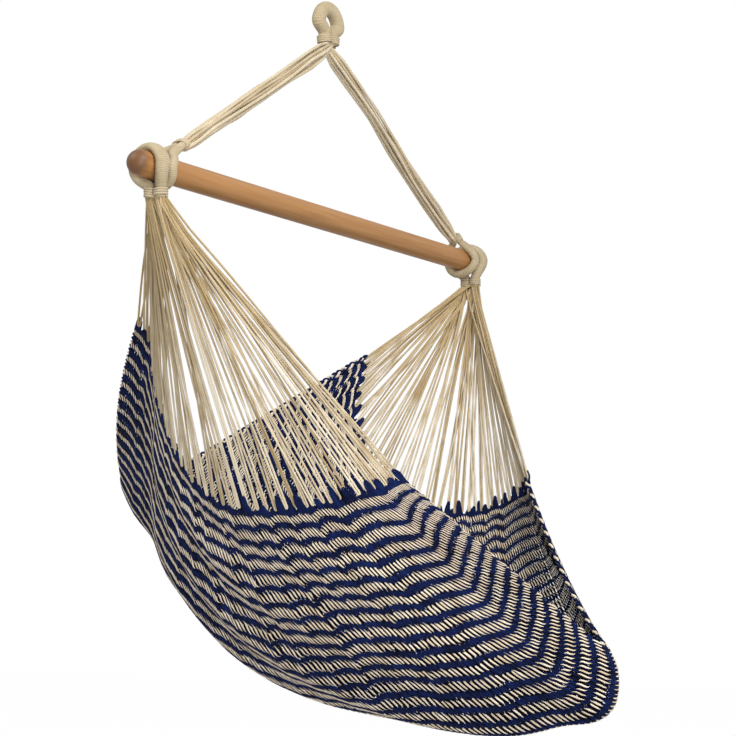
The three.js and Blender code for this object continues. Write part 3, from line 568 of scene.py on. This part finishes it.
def bridle_bundle(name, start, end, seed, sway):
    """Cords from start to end, in a round bundle whose half width follows the spreads at their shares."""
    start, end = np.array(start), np.array(end)
    way = end - start
    length = np.linalg.norm(way)
    way /= length
    level = np.cross(way, (0, 0, 1.0))
    level /= np.linalg.norm(level)
    over = np.cross(level, way)
    t = np.linspace(0, 1, bridle_steps)
    wide = np.interp(t, bridle_shares, bridle_spreads)
    ease = np.clip(wide / max(bridle_spreads), 0, 1)[:, None]
    knots = np.linspace(0, 1, drift_knots)
    lines = []
    for spot in packed_places(bridle_count, 1.0, seed):
        drift = [np.interp(t, knots, draw.normal(0, cord_drift, drift_knots)) for _ in range(2)]
        offset = spot[None, :] * wide[:, None] + np.stack(drift, axis=-1) * ease
        line = start + way * (t * length)[:, None] + level * offset[:, :1] + over * offset[:, 1:]
        line[:, 1] -= sway * np.sin(2 * math.pi * t)
        lines.append(line)
    tones = draw.normal(0, bridle_tone_chance, bridle_count)
    return piece_of(spun(name, lines, bridle_cord / 2, sides=9, tone=tones), cream, "bridle")


for word, (side, reach, rise) in bridle_ends.items():
    root = (side * root_aside, root_back * side, swing_height + root_rise)
    foot = (side * (reach - foot_inset), 0, bar_height + rise - foot_inset)
    sway = left_bridle_sway if side > 0 else 0.0
    run = bridle_bundle(f"{word}_bridle_cords", root, foot, 0.4 + side, sway)
    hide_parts(f"{word}_bridle")

# Bridle loops. Each bundle's cords part in two, pass round the bar as a whipped loop and come back
# to the neck, where a few turns of cord bind them.

loop_wide = 0.017
loop_deep = 0.014
loop_neck = 0.012
loop_lean = 0.45
loop_centre, loop_back, loop_foot = 0.462, 0.456, 0.452
loop_clearance = 0.0009
loop_leg_gap = 0.0002
loop_rib_pitch = 0.0027
loop_rib_wander = 0.3
bound_half = 0.0065
past_binding = 0.002
loop_turn_shares = [0.27, 0.14, 0, -0.125, -0.25, -0.375, -0.5]
loop_binding_cord = 0.0031
loop_binding_turns = 3.5
loop_binding_out = 0.0006
loop_binding_lean = 0.0006


def bridle_loop_stations(side, end, along):
    """Stations from the binding down behind the bar, under it and up again in front of it."""
    hold = bar_radius + loop_deep / 2 + loop_clearance
    leg = loop_neck / 2 + loop_leg_gap
    half = []
    for reach in (-bound_half, 0, bound_half + past_binding):
        place = end + along * reach
        half.append(((place[0], leg, place[2]), loop_neck / 2, loop_neck / 2, 0.0))
    for share in loop_turn_shares:
        angle = share * math.pi
        rise = hold * math.sin(angle)
        inward = max(0.0, rise) * loop_lean
        under = max(0.0, -math.sin(angle))
        centre = loop_back + (loop_foot - loop_back) * under
        forward = (loop_centre - loop_back) * math.cos(angle) ** 2
        place = (side * (centre - inward), hold * math.cos(angle), bar_height + rise)
        half.append((place, loop_wide / 2, loop_deep / 2, side * forward))
    back = [((x + forward, -y, z), wide, deep) for (x, y, z), wide, deep, forward in half[-2::-1]]
    return [(place, wide, deep) for place, wide, deep, _ in half] + back


for word, (side, reach, rise) in bridle_ends.items():
    end = np.array((side * reach, 0, bar_height + rise))
    along = end - np.array((0, 0, swing_height))
    along /= np.linalg.norm(along)
    loop_stations = bridle_loop_stations(side, end, along)
    loop_mesh = wound_rope(f"{word}_whipped_loop", loop_stations, (-1, 0, 0),
                           pitch=loop_rib_pitch, rough=loop_rib_wander)
    loop = piece_of(loop_mesh, whipped, "bridle")
    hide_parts(f"{word}_bridle_loop")
    line = binding(end, along, (0, 1, 0), loop_neck + loop_leg_gap, loop_neck / 2 + loop_binding_out,
                   loop_binding_turns, loop_binding_cord, loop_binding_lean)
    bound_mesh = spun(f"{word}_loop_binding", [line], loop_binding_cord / 2, sides=10)
    bound = piece_of(bound_mesh, seizing, "bridle")
    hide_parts(f"{word}_bridle_seizing")

# Hammock eyes. A thick core of strings hangs over each end of the bar as a loop, pressed flat on the
# bar's top. Fine cotton cord is wound over all of it, and it closes in a neck under the bar.

neck_x = 0.477
neck_y = -0.009
neck_z = bar_height - 0.048
strand_radius = 0.0085
leg_spread = strand_radius + 0.0002
eye_turn_shares = [-0.31, -0.2, -0.09, 0.02, 0.13, 0.25, 0.37, 0.5, 0.63, 0.75, 0.87, 0.98, 1.07]
eye_back_leg = ((0, -0.25), (0, 1.15), (0.25, 1.78))
eye_front_leg = (1.45, -0.25)
eye_ribs = {"right": (0.0024, 0.0008), "left": (0.0019, 0.0003)}
eye_deep_beside, eye_deep_crown = 0.0095, 0.007
eye_deep_under = strand_radius * 0.85
eye_wide_back, eye_wide_front = 0.011, 0.0125
eye_x_back, eye_x_front = 0.480, 0.487
eye_clearance = 0.0003
clew_cord = 0.0036
clew_binding_turns = 3.5
clew_binding_rise = 0.0062
clew_binding_leans = {-1: 0.0, 1: 0.0022}
sides_of_chair = (("right", -1), ("left", 1))


def between(low, high, share):
    return low + (high - low) * share


def hammock_eye_stations(side):
    """Stations up the back leg, over the bar and down the front leg to the neck."""
    stations = []
    for out, rise in eye_back_leg:
        place = (side * neck_x, neck_y + leg_spread + out * strand_radius, neck_z + rise * strand_radius)
        stations.append((place, strand_radius, strand_radius))
    for share in eye_turn_shares:
        angle = share * math.pi
        crown = max(0.0, math.sin(angle))
        under = max(0.0, -math.sin(angle))
        deep = between(between(eye_deep_beside, eye_deep_crown, crown), eye_deep_under, under)
        turned = (1 - math.cos(angle)) / 2
        wide = between(between(eye_wide_back, eye_wide_front, turned), strand_radius, under)
        hold = bar_radius + deep + eye_clearance
        x = between(eye_x_back, eye_x_front, turned)
        place = (side * x, hold * math.cos(angle), bar_height + hold * math.sin(angle))
        stations.append((place, wide, deep))
    for rise in eye_front_leg:
        place = (side * neck_x, neck_y - leg_spread, neck_z + rise * strand_radius)
        stations.append((place, strand_radius, strand_radius))
    return stations


for word, side in sides_of_chair:
    pitch, depth = eye_ribs[word]
    eye_mesh = wound_rope(f"{word}_whipped_eye", hammock_eye_stations(side), (1, 0, 0), sides=32,
                          pitch=pitch, depth=depth, rough=rib_wander)
    clew_eye = piece_of(eye_mesh, whipped, "seat")
    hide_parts(f"{word}_hammock_eye")
    turns = []
    for leg, lean in clew_binding_leans.items():
        centre = (side * neck_x, neck_y + leg * leg_spread, neck_z + clew_binding_rise)
        turns.append(binding(centre, (0, 0, 1), (0, leg, 0), strand_radius, strand_radius,
                             clew_binding_turns, clew_cord, lean * leg))
    bound_mesh = spun(f"{word}_clew_binding", turns, clew_cord * 0.5, sides=10)
    bound = piece_of(bound_mesh, seizing, "seat")
    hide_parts(f"{word}_clew_seizing")

# Cloth of the seat. One open cloth of cotton cord hangs between two clew edges, where the strings take
# it up, and its weight draws it into folds. These shares of its half spread, its reach and its drop
# below the bar place the right clew edge and the middle line, from the back to the front lip.

seat_half_spread = 0.335
seat_reach = 0.530
seat_drop = 0.858
seat_far_lift = 0.020
line_spacing = 0.002
clew_edge_shares = [
    (1.0, 0.268, 0.247), (0.931, 0.249, 0.282), (0.896, 0.257, 0.327), (0.863, 0.255, 0.385),
    (0.851, 0.23, 0.435), (0.845, 0.183, 0.496), (0.848, 0.104, 0.552), (0.86, -0.004, 0.589),
    (0.854, -0.128, 0.599), (0.824, -0.255, 0.597), (0.77, -0.372, 0.583), (0.693, -0.47, 0.564),
    (0.606, -0.521, 0.543),
]
keel_shares = [
    (0.815, 0.526), (0.758, 0.592), (0.67, 0.665), (0.575, 0.729), (0.481, 0.785), (0.292, 0.862),
    (0.094, 0.923), (-0.091, 0.96), (-0.272, 0.983), (-0.449, 0.996), (-0.619, 1.0), (-0.774, 0.993),
    (-0.887, 0.977), (-0.958, 0.948), (-0.992, 0.91), (-0.998, 0.875), (-0.977, 0.839),
]
edge_points = [(out * seat_half_spread, back * seat_reach, bar_height - down * seat_drop)
               for out, back, down in clew_edge_shares]
keel_points = [(0, back * seat_reach, bar_height - down * seat_drop) for back, down in keel_shares]
clew_line, clew_marks, _ = smooth_path(edge_points, line_spacing, powered=0.0)
keel_line, keel_marks, _ = smooth_path(keel_points, line_spacing, powered=0.0)
stripe_count = 28
fine_columns = stripe_count * 8
fine_rows = 320
column_samples = 240
keel_lag = 0.08
rim_ease, pocket_ease = 0.12, 0.5
fold_depth, folds_along, folds_across = 0.006, 3.2, 3.1
crease_depth, crease_at, crease_spread = 0.014, 0.135, 0.06
ridge_depth, ridge_at, ridge_spread = 0.012, 0.9, 0.05
nose_depth, nose_at, nose_spread, nose_half_width = 0.018, 0.93, 0.036, 0.3
belly_depth, belly_at, belly_spread = 0.006, 0.43, 0.1
far_rim_back, far_rim_from, far_rim_length, far_rim_skew = 0.022, 0.88, 0.12, 0.65
near_rim_back, near_rim_length, near_rim_width = 0.015, 0.14, 0.85
near_rim_aside, near_rim_away = 0.54, 0.84


def at_share(line, marks, share):
    """The place at a share of the way along a line."""
    return at_lengths(line, marks, np.clip(share, 0, 1) * marks[-1])


def hung_place(across, along):
    """A place of the unfolded sheet: across from -1, the right clew edge, to 1; along from 0, the back."""
    edge = at_share(clew_line, clew_marks, along)
    keel = at_share(keel_line, keel_marks, along - keel_lag * np.sin(math.pi * along))
    ease = rim_ease + pocket_ease * np.sin(math.pi * along) ** 2
    out = np.abs(across)
    drop = 1 - (np.sqrt(out ** 2 + ease ** 2) - ease) / (np.sqrt(1 + ease ** 2) - ease)
    place = edge + (keel - edge) * drop[..., None]
    place[..., 0] = edge[..., 0] * across
    place[..., 2] += seat_far_lift * np.maximum(across, 0)
    return place


def even_columns(along_values):
    """The sheet on rows of places that are evenly spaced from each clew edge to the middle."""
    half = fine_columns // 2
    rows = np.zeros((len(along_values), fine_columns + 1, 3))
    for j, along in enumerate(along_values):
        for side in (-1, 1):
            across = side * (1 - np.arange(column_samples + 1) / column_samples)
            line = hung_place(across, np.full(column_samples + 1, along))
            lengths = lengths_along(line)
            even = at_lengths(line, lengths, np.linspace(0, lengths[-1], half + 1))
            if side < 0:
                rows[j, :half + 1] = even
            else:
                rows[j, half:] = even[::-1]
    return rows


def sheet_outward(grid):
    """The way out of the cloth, away from the sitter, at each place of its grid."""
    out = np.cross(np.gradient(grid, axis=1), np.gradient(grid, axis=0))
    return out / (np.linalg.norm(out, axis=2)[:, :, None] + 1e-12)


def swell(place, centre, spread):
    """A smooth hump, 1 at its centre."""
    return np.exp(-((place - centre) / spread) ** 2)


along_values = np.linspace(0, 1, fine_rows + 1)
sheet = even_columns(along_values)
across_grid = np.linspace(-1, 1, fine_columns + 1)[None, :]
along_grid = along_values[:, None]
calm = np.sin(math.pi * along_grid) ** 2 * (1 - across_grid ** 6)
run_of_folds = 2 * math.pi * (folds_along * along_grid + folds_across * np.abs(across_grid))
fold = fold_depth * calm * np.sin(run_of_folds)
fold = fold + crease_depth * swell(along_grid, crease_at, crease_spread) * (1 - across_grid ** 2)
fold = fold + ridge_depth * swell(along_grid, ridge_at, ridge_spread) * (1 - across_grid ** 4)
fold = fold - nose_depth * swell(along_grid, nose_at, nose_spread) * swell(across_grid, 0, nose_half_width)
fold = fold - belly_depth * swell(along_grid, belly_at, belly_spread) * (1 - across_grid ** 2)
sheet = sheet - sheet_outward(sheet) * fold[:, :, None]
rim_share = np.clip((along_grid - far_rim_from) / far_rim_length, 0, 1) ** 2
far_share = np.sin(math.pi * np.clip(across_grid, 0, 1) ** far_rim_skew)
sheet[:, :, 1] += far_rim_back * rim_share * far_share
near_share = np.sin(math.pi * np.clip((across_grid + 1) / near_rim_width, 0, 1))
back_share = np.clip(1 - along_grid / near_rim_length, 0, 1) ** 2 * near_share
sheet[:, :, 0] -= near_rim_back * near_rim_aside * back_share
sheet[:, :, 1] += near_rim_back * near_rim_away * back_share
sheet_normal = sheet_outward(sheet)


def grid_at(grid, column, along):
    """The grid's value at columns from 0 to stripe_count and places along from 0 to 1."""
    x = np.clip(column / stripe_count, 0, 1) * fine_columns
    y = np.clip(along, 0, 1) * fine_rows
    x0 = np.minimum(x.astype(int), fine_columns - 1)
    y0 = np.minimum(y.astype(int), fine_rows - 1)
    fx, fy = (x - x0)[..., None], (y - y0)[..., None]
    top = grid[y0, x0] * (1 - fx) + grid[y0, x0 + 1] * fx
    low = grid[y0 + 1, x0] * (1 - fx) + grid[y0 + 1, x0 + 1] * fx
    return top * (1 - fy) + low * fy


# Seat weave. Cotton cords in bands of cream and navy, each a short slanting float over its band that
# dives between the tips of the next band's floats. Navy ground cord lies under the gaps between the floats,
# darkened almost to black as painted shade.

rows_woven = 136
bands_woven = 33
navy_share = 0.5
edge_trim = 0.2
band_total = bands_woven + navy_share - 2 * edge_trim
keel_band = 15.0
strand = 0.0018
one_row = 1 / rows_woven
cream_half_length = 0.385
navy_half_length = 0.44
core_half_length = 0.2
ground_trim = 0.05
ground_places_a_band = 4
ground_thickness = 0.095
ground_least_gap, ground_most_gap = 0.002, 0.009
ground_flat = 4.4
float_thickness = 0.25
float_bunching = 0.45 * math.pi
float_bend = 0.35
lean_turn_bands = 1.5
tip_thickness, taper_rise, taper_power = 0.1, 1.45, 0.9
row_margin = 0.2
fold_places = [
    0.0, 0.05, 0.095, 0.145, 0.185, 0.235, 0.275, 0.33, 0.37, 0.425, 0.46, 0.52, 0.565, 0.615, 0.66, 0.72,
    0.765, 0.83, 0.945, 1.0,
]

# Each of these pairs has places along the cloth, and what holds there: how far the stripes drift and
# bend in bands, how strongly they ripple, how the floats lean in rows, how thin the far ones are, where
# the cream ones get shorter, and where the rows lie.

stripe_drift = ([0, 0.55, 0.74, 0.82, 0.875, 1.0], [0, 0, -1.8, -1.4, -1.45, -1.3])
stripe_elbow = ([0, 0.875, 0.93, 0.955, 0.975, 1.0], [0, 0, 0.24, -0.24, -0.42, -0.46])
near_ripple = ([0, 0.3, 0.45, 0.68, 0.85, 1.0], [0.35, 0.35, 0.45, 0.4, 0.28, 0.14])
far_ripple = 0.6
float_lean = ([0, 0.3, 0.5, 0.62, 0.75, 0.86, 0.93, 1.0], [0.6, 0.85, 0.85, 0.75, 0.65, 0.5, 0.95, 1.3])
far_thinning = ([0.8, 0.9], [0.25, 0.165])
slender_run = ([0.3, 0.5], [1, 0])
row_run = ([-0.1, 0.875, 1.1], [-0.105, 0.92, 1.064])
row_swing, row_swing_from = 0.14, 0.42
slide_reach = 12
calm_reach = 2.0
elbow_samples = (-0.006, -0.002, 0.002, 0.006)
elbow_from, elbow_reach, far_elbow = 0.2, 2.5, 0.5
edge_ripple_from, edge_ripple_rise, edge_ripple_most, edge_ripple_reach = 0.7, 5, 0.25, 4
edge_calm, edge_calm_reach = 0.35, 2.0
ripple_loss = 0.03
far_bunching = 0.24
fold_wander, fold_wander_turn = 0.010, 0.5
fold_slant, fold_slant_bands = 0.004, 3
fold_size, fold_size_swing, fold_size_turn = 0.75, 0.5, 2.4
crest_height = 0.55

# These are the spreads of the small chance differences between floats, in rows, bands and shares.

row_chance = 0.05
band_chance = 0.03
length_chance = 0.1
thickness_chance = 0.06
tone_chance = 0.32


def row_place(row):
    """Where a row lies along the cloth: the rows open out under the clew edges and close up at the lip."""
    share = np.interp(row * one_row, *row_run)
    start = math.sin(2 * math.pi * row_swing_from)
    return share + row_swing / (2 * math.pi) * (np.sin(2 * math.pi * (share - row_swing_from)) + start)


def scallop(along, band):
    """How far the bands wander, in bands: pointed crests where the cloth is pulled up into folds."""
    inward = np.minimum(band, band_total - band)
    drift = along + fold_wander * np.sin(band * fold_wander_turn) - fold_slant * inward / fold_slant_bands
    at = np.interp(drift, fold_places, np.arange(len(fold_places)))
    part = at - np.floor(at)
    dip = 4 * part * (1 - part)
    size = fold_size + fold_size_swing * np.sin(np.floor(at) * fold_size_turn)
    return size * (crest_height - dip)


def column_place(band, along):
    """The sheet's column at a band, counted in from the right clew edge, and a share of the way along."""
    half = band_total / 2
    near_side = band < half
    inward = np.minimum(band, band_total - band)
    fade = np.clip((half - inward) / calm_reach, 0, 1)
    slide = np.interp(along, *stripe_drift)
    slide = slide * np.clip(band / slide_reach, 0, 1) * np.clip((band_total - band) / slide_reach, 0, 1)
    turned = [np.interp(along + off, *stripe_elbow) for off in elbow_samples]
    elbow = sum(turned) / len(turned) * np.where(near_side, 1.0, far_elbow)
    elbow = elbow * np.clip((inward - elbow_from) / elbow_reach, 0, 1) * fade
    edge_ripple = np.clip((along - edge_ripple_from) * edge_ripple_rise, 0, 1) * edge_ripple_most
    edge_ripple = edge_ripple * np.clip(1 - inward / edge_ripple_reach, 0, 1)
    ripple = np.where(near_side, np.interp(along, *near_ripple) + edge_ripple, far_ripple)
    ripple = ripple * scallop(along, band) * np.clip(edge_calm + inward / edge_calm_reach, 0, 1)
    ripple = ripple * (1 - ripple_loss * inward)
    moved = band + slide + np.where(near_side, 1.0, -1.0) * (elbow + ripple * fade)
    moved = np.clip(moved, 0, band_total)
    near = moved / keel_band
    far = (band_total - moved) / (band_total - keel_band)
    far = far - far_bunching / math.pi * np.sin(math.pi * np.clip(far, 0, 1))
    return np.where(near < 1, near, 2 - far) * stripe_count / 2


def wavering(count, length, spread, reach=7):
    """A smooth random run for each of count bands, so that neighbours in a band keep together."""
    raw = draw.normal(0, 1, (count, length + 2 * reach))
    kernel = np.hanning(2 * reach + 1)
    kernel /= np.sqrt((kernel ** 2).sum())
    return spread * np.stack([np.convolve(row, kernel, "valid") for row in raw])


def floats(name, centres, half_length, shift=0.0, lean=1.0, steps=8, slender=0.0):
    """Floats of one colour: one to a row in each band, tapering into the bands on each side of it.

    half_length is in bands and shift in rows. slender shortens the floats towards the back.
    """
    bands = len(centres)
    row = np.arange(rows_woven) + 0.5 + shift
    row = row[None, :] + draw.normal(0, row_chance, (bands, rows_woven))
    centre = np.array(centres)[:, None] + wavering(bands, rows_woven, band_chance)
    half = half_length * (1 + draw.normal(0, length_chance, (bands, rows_woven)))
    half = half * (1 - slender * np.interp(row_place(row), *slender_run))
    t = np.linspace(-1, 1, steps)
    band = centre[..., None] + half[..., None] * np.sin(float_bunching * t) / math.sin(float_bunching)
    leaning = np.interp(row_place(row), *float_lean) * np.tanh((band_total / 2 - centre) / lean_turn_bands)
    rows_over = row[..., None] + lean * leaning[..., None] * (t + float_bend * t ** 3)
    along = np.clip(row_place(rows_over), 0, 1)
    places = grid_at(sheet, np.clip(column_place(band, along), 0.0, stripe_count), along)
    draw.normal(0, 0.3, (bands, rows_woven))  # Not used, but it keeps the later draws in their order.
    middle = column_place(centre, row_place(row))
    row_above = grid_at(sheet, middle, row_place(row - 0.5))
    row_below = grid_at(sheet, middle, row_place(row + 0.5))
    gap = np.linalg.norm(row_below - row_above, axis=-1)
    far_side = centre > band_total / 2
    thickness = np.where(far_side, np.interp(row_place(row), *far_thinning), float_thickness)
    chance = draw.normal(0, thickness_chance, (bands, rows_woven))
    size = np.minimum(strand, gap * thickness) * (1 + chance)
    taper = tip_thickness + (1 - tip_thickness) * np.clip((1 - np.abs(t)) * taper_rise, 0, 1) ** taper_power
    radii = size[..., None] * taper
    keep = (row > row_margin) & (row < rows_woven - row_margin)
    paths = places[keep]
    tone = draw.normal(0, tone_chance, len(paths))
    return spun(name, paths, radii[keep], tone=tone)


navy = cotton("navy cord", linear(19, 37, 92), linear(5, 9, 30), lay=0.010, mottle=0.6, shade=0.6,
              sheen=0.02, gloss=0.12)
weave_cream = cotton("woven cream cord", linear(248, 236, 216), linear(214, 194, 166), lay=0.010, mottle=0.6)
# The ground cord's navy is darkened almost to black: painted shade for where it lies under the floats.
shaded_navy = cotton("shaded navy cord", linear(9, 11, 24), linear(3, 4, 10), lay=0.010,
                     sheen=0.0, gloss=0.05)

cream_centres = [j + navy_share + (1 - navy_share) / 2 - edge_trim for j in range(bands_woven)]
navy_centres = [j + navy_share / 2 - edge_trim for j in range(bands_woven + 1)]
half_count = bands_woven // 2 + 1
halves = {"right": slice(None, half_count), "left": slice(half_count, None)}
for word, half in halves.items():
    made = floats(f"cream_weave_{word}", cream_centres[half], cream_half_length, slender=0.48)
    piece_of(made, weave_cream, "seat")
for word, half in halves.items():
    made = floats(f"navy_weave_{word}", navy_centres[half], navy_half_length, shift=0.5)
    piece_of(made, navy, "seat")
made = floats("navy_weave_core", navy_centres, core_half_length, lean=0.5, steps=4)
piece_of(made, navy, "seat")

ground_rows = row_place(np.arange(rows_woven - 1) + 1.0)
ground_bands = np.linspace(ground_trim, band_total - ground_trim, bands_woven * ground_places_a_band + 1)
band_grid, row_grid = np.meshgrid(ground_bands, ground_rows)
column_grid = column_place(band_grid, row_grid)
ground_paths = grid_at(sheet, column_grid, row_grid)
ground_normals = grid_at(sheet_normal, column_grid, row_grid)
ground_gaps = np.linalg.norm(np.gradient(ground_paths, axis=0), axis=2)
ground_radii = np.clip(ground_gaps, ground_least_gap, ground_most_gap) * ground_thickness
ground_mesh = spun("ground_weave", ground_paths, ground_radii, normals=ground_normals, flat=ground_flat)
ground = piece_of(ground_mesh, shaded_navy, "seat")
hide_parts("woven_seat")

# Selvages. The back and the front edge of the weave are each finished by a flat braid of three cords,
# two navy and one cream, which narrows at the corners.

braid_cord = 0.0042
braid_wide = 0.0050
braid_deep = 0.0014
braid_period = 0.030
braid_sink = 0.0036
braid_fade = 0.02
corner_width = 0.25
braid_tones = [0.1, -0.2]
braid_places = 700
edge_places = 900
rims = {"back": 0.006, "front": 0.993}


def braid(name, line, sideways, marks):
    """Three cords plaited along a line, as two pieces: two cords in navy and one in cream."""
    cords = []
    fade = np.clip(np.minimum(marks, marks[-1] - marks) / braid_fade, corner_width, 1)
    for part in range(3):
        phase = 2 * math.pi * (marks / braid_period + part / 3)
        cords.append(line + sideways[0] * (braid_wide * fade * np.sin(phase))[:, None]
                     + sideways[1] * (braid_deep * np.sin(2 * phase))[:, None])
    dark = spun(f"{name}_navy", cords[:2], braid_cord / 2, sides=9, tone=braid_tones)
    light = spun(f"{name}_cream", cords[2:], braid_cord / 2, sides=9)
    return piece_of(dark, navy, "seat"), piece_of(light, weave_cream, "seat")


hems = []
for word, along_end in rims.items():
    edge_columns = np.linspace(0, stripe_count, edge_places)
    edge = grid_at(sheet, edge_columns, np.full(edge_places, along_end))
    marks = lengths_along(edge)
    even = np.linspace(0, marks[-1], braid_places)
    edge = at_lengths(edge, marks, even)
    columns = np.interp(even, marks, edge_columns)
    outward = grid_at(sheet_normal, columns, np.full(braid_places, along_end))
    edge = edge - outward * braid_sink
    run = np.gradient(edge, axis=0)
    run /= np.linalg.norm(run, axis=1)[:, None]
    dark, light = braid(f"{word}_selvage", edge, (np.cross(run, outward), outward), even)
    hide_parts(f"{word}_edge_cord")
    hems += [dark, light]

# End loops and clew strings. At each clew edge the navy cords end in loops. A doubled cream string
# passes through every loop, and all the strings of a side gather in two bundles under the eye.

loops_a_side = 46
loop_cord = 0.0032
loop_stand_off = 0.0031
loop_shortest, loop_longer = 0.010, 0.018
loop_reach_power = 1.4
loop_row_chance, loop_tip_chance, loop_tone_chance = 0.5, 0.003, 0.3
loop_thinnest, loop_fatter = 0.85, 0.5
loop_root_depths = (0.3, 0.05)
nested_loops = ((0.36, 0.0034, 0.0), (0.22, 0.0021, 0.0036), (0.08, 0.0008, 0.0075))
near_head_place, near_head_width = 0.82, 0.62
head_width, head_round = 0.2, 0.0006
strings_a_side = 44
string_cord = 0.0034
string_gap = string_cord * 0.54
root_width, turn_width = 0.7, 0.6
turn_depth, turn_round = 0.0018, 0.0006
string_steps = 30
cross_share = 0.22
gather_places = 30
gather_spread = 0.0074
gather_drop = 0.010
gather_start = 9
root_sink = 0.001
leg_change_share = 0.52
bend_nearest, bend_further = 0.004, 0.005
slack_chance = 0.0035
string_row_chance, bend_chance, wave_chance, belly_chance = 0.3, 0.0004, 0.0006, 0.0012
string_tone_chance = 0.6
pair_nearest, pair_further = 0.0005, 0.0035
far_lift, far_lift_strings, far_lift_gain = 0.007, 12, 1.4
far_lip_lag, far_lip_strings = 0.007, 7
calm_strings = 6
# The gathered colour is painted shade: the strings darken and yellow towards the eyes, where they crowd
# together.
string_cotton = cotton("string cotton", linear(231, 218, 193), linear(174, 152, 114), lay=0.012, mottle=0.5,
                       gathered=(linear(178, 152, 106), -0.72, -0.46))


def edge_place(side, inward, row, grid=sheet):
    """A place of the cloth, counted in bands in from one clew edge and in rows from the back."""
    band = np.array([band_total - inward if side > 0 else inward])
    along = np.clip(np.array([row_place(row)]), 0, 1)
    return grid_at(grid, column_place(band, along), along)[0]


def edge_frame(side, row, root):
    """At a row of a clew edge: its place, the way to the root, the way along the edge, and outward."""
    edge = edge_place(side, 0.0, row)
    outward = edge_place(side, 0.0, row, sheet_normal)
    pull = (root - edge) / np.linalg.norm(root - edge)
    square = edge_place(side, 0.0, row + 1) - edge_place(side, 0.0, row - 1)
    square -= pull * square.dot(pull)
    return edge, pull, square / np.linalg.norm(square), outward


def end_loops(side):
    """Blades of navy cord: three loops, one inside another, that close to a point beyond the edge."""
    paths = []
    neck = np.array((side * neck_x, neck_y, neck_z))
    spacing = rows_woven / loops_a_side
    for j in range(loops_a_side):
        row = (j + 0.5) * spacing + draw.normal(0, loop_row_chance)
        edge, pull, square, outward = edge_frame(side, row, neck)
        face = outward * (loop_stand_off if j % 2 else -loop_stand_off)
        reach = loop_shortest + loop_longer * draw.random() ** loop_reach_power
        tip = edge + pull * reach + square * draw.normal(0, loop_tip_chance) + face
        fat = loop_thinnest + loop_fatter * draw.random()
        for spread, half_wide, set_back in nested_loops:
            step = spacing * spread * fat
            wide = half_wide * fat
            head = tip - pull * set_back
            low = [edge_place(side, depth, row - step) for depth in loop_root_depths]
            high = [edge_place(side, depth, row + step) for depth in loop_root_depths[::-1]]
            middle = between(edge, head, 0.5) + face * 0.5
            near_head = between(edge, head, near_head_place)
            rounding = pull * head_round
            paths.append(np.stack([
                *low,
                middle - square * wide,
                near_head - square * wide * near_head_width,
                head - square * wide * head_width - rounding,
                head + square * wide * head_width - rounding,
                near_head + square * wide * near_head_width,
                middle + square * wide,
                *high,
            ]))
    return paths


def clew_strings(side):
    """Cream strings: each comes down from the neck, turns through the navy loops and goes back up."""
    paths = []
    spacing = rows_woven / strings_a_side
    spots = packed_places(gather_places, gather_spread, 0.3)
    order = draw.permutation(gather_places)
    down = np.linspace(0, 1, string_steps)
    bow = np.sin(math.pi * down)
    gathered = np.clip(down * gather_start, 0, 1) * (1 - down) ** 2
    for j in range(strings_a_side):
        from_lip = strings_a_side - 1 - j
        row = (j + 0.5) * spacing + draw.normal(0, string_row_chance)
        leg = -1 if row > rows_woven * leg_change_share else 1
        leg = -leg if draw.random() < cross_share else leg
        spot = spots[order[j % gather_places]]
        lifted = far_lift * max(0.0, 1 - j / far_lift_strings) if side > 0 else 0.0
        height = neck_z - root_sink + lifted
        root = np.array((side * neck_x + spot[0], neck_y + leg * leg_spread + spot[1], height))
        edge, pull, square, outward = edge_frame(side, row, root)
        reach = bend_nearest + bend_further * draw.random()
        bend_at = edge + pull * reach + outward * draw.normal(0, bend_chance)
        slack = draw.normal(0, slack_chance) * min(1.0, j / calm_strings, from_lip / calm_strings)
        if side > 0:
            slack -= far_lip_lag * max(0.0, 1 - from_lip / far_lip_strings)
        shift = pair_nearest + pair_further * draw.random()
        legs = []
        for way in (-1, 1):
            start = root + square * (way * string_gap * root_width)
            stop = bend_at + square * (way * string_gap)
            waving = way * draw.normal(0, wave_chance) * np.sin(3 * math.pi * down)
            aside = (slack + way * shift) * bow + waving
            line = start + (stop - start) * down[:, None] + square * aside[:, None]
            line = line + outward * (draw.normal(0, belly_chance) * bow)[:, None]
            line[:, 2] -= (gather_drop - lifted * far_lift_gain) * gathered
            legs.append(line)
        low = bend_at - pull * turn_depth
        half_turn = square * string_gap * turn_width
        turn = [low - half_turn, low - pull * turn_round, low + half_turn]
        paths.append(np.concatenate([legs[0], turn, legs[1][::-1]]))
    return paths


for word, side in sides_of_chair:
    navy_paths = end_loops(side)
    string_paths = clew_strings(side)
    loop_tones = draw.normal(0, loop_tone_chance, len(navy_paths))
    loops_mesh = spun(f"{word}_end_loops", navy_paths, loop_cord / 2, sides=7, tone=loop_tones)
    piece_of(loops_mesh, navy, "seat")
    string_tones = draw.normal(0, string_tone_chance, len(string_paths))
    strings_mesh = spun(f"{word}_strings", string_paths, string_cord / 2, sides=8, tone=string_tones)
    strings = piece_of(strings_mesh, string_cotton, "seat")
    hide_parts(*[f"{word}_clew_strings_{index}" for index in range(1, 6)])
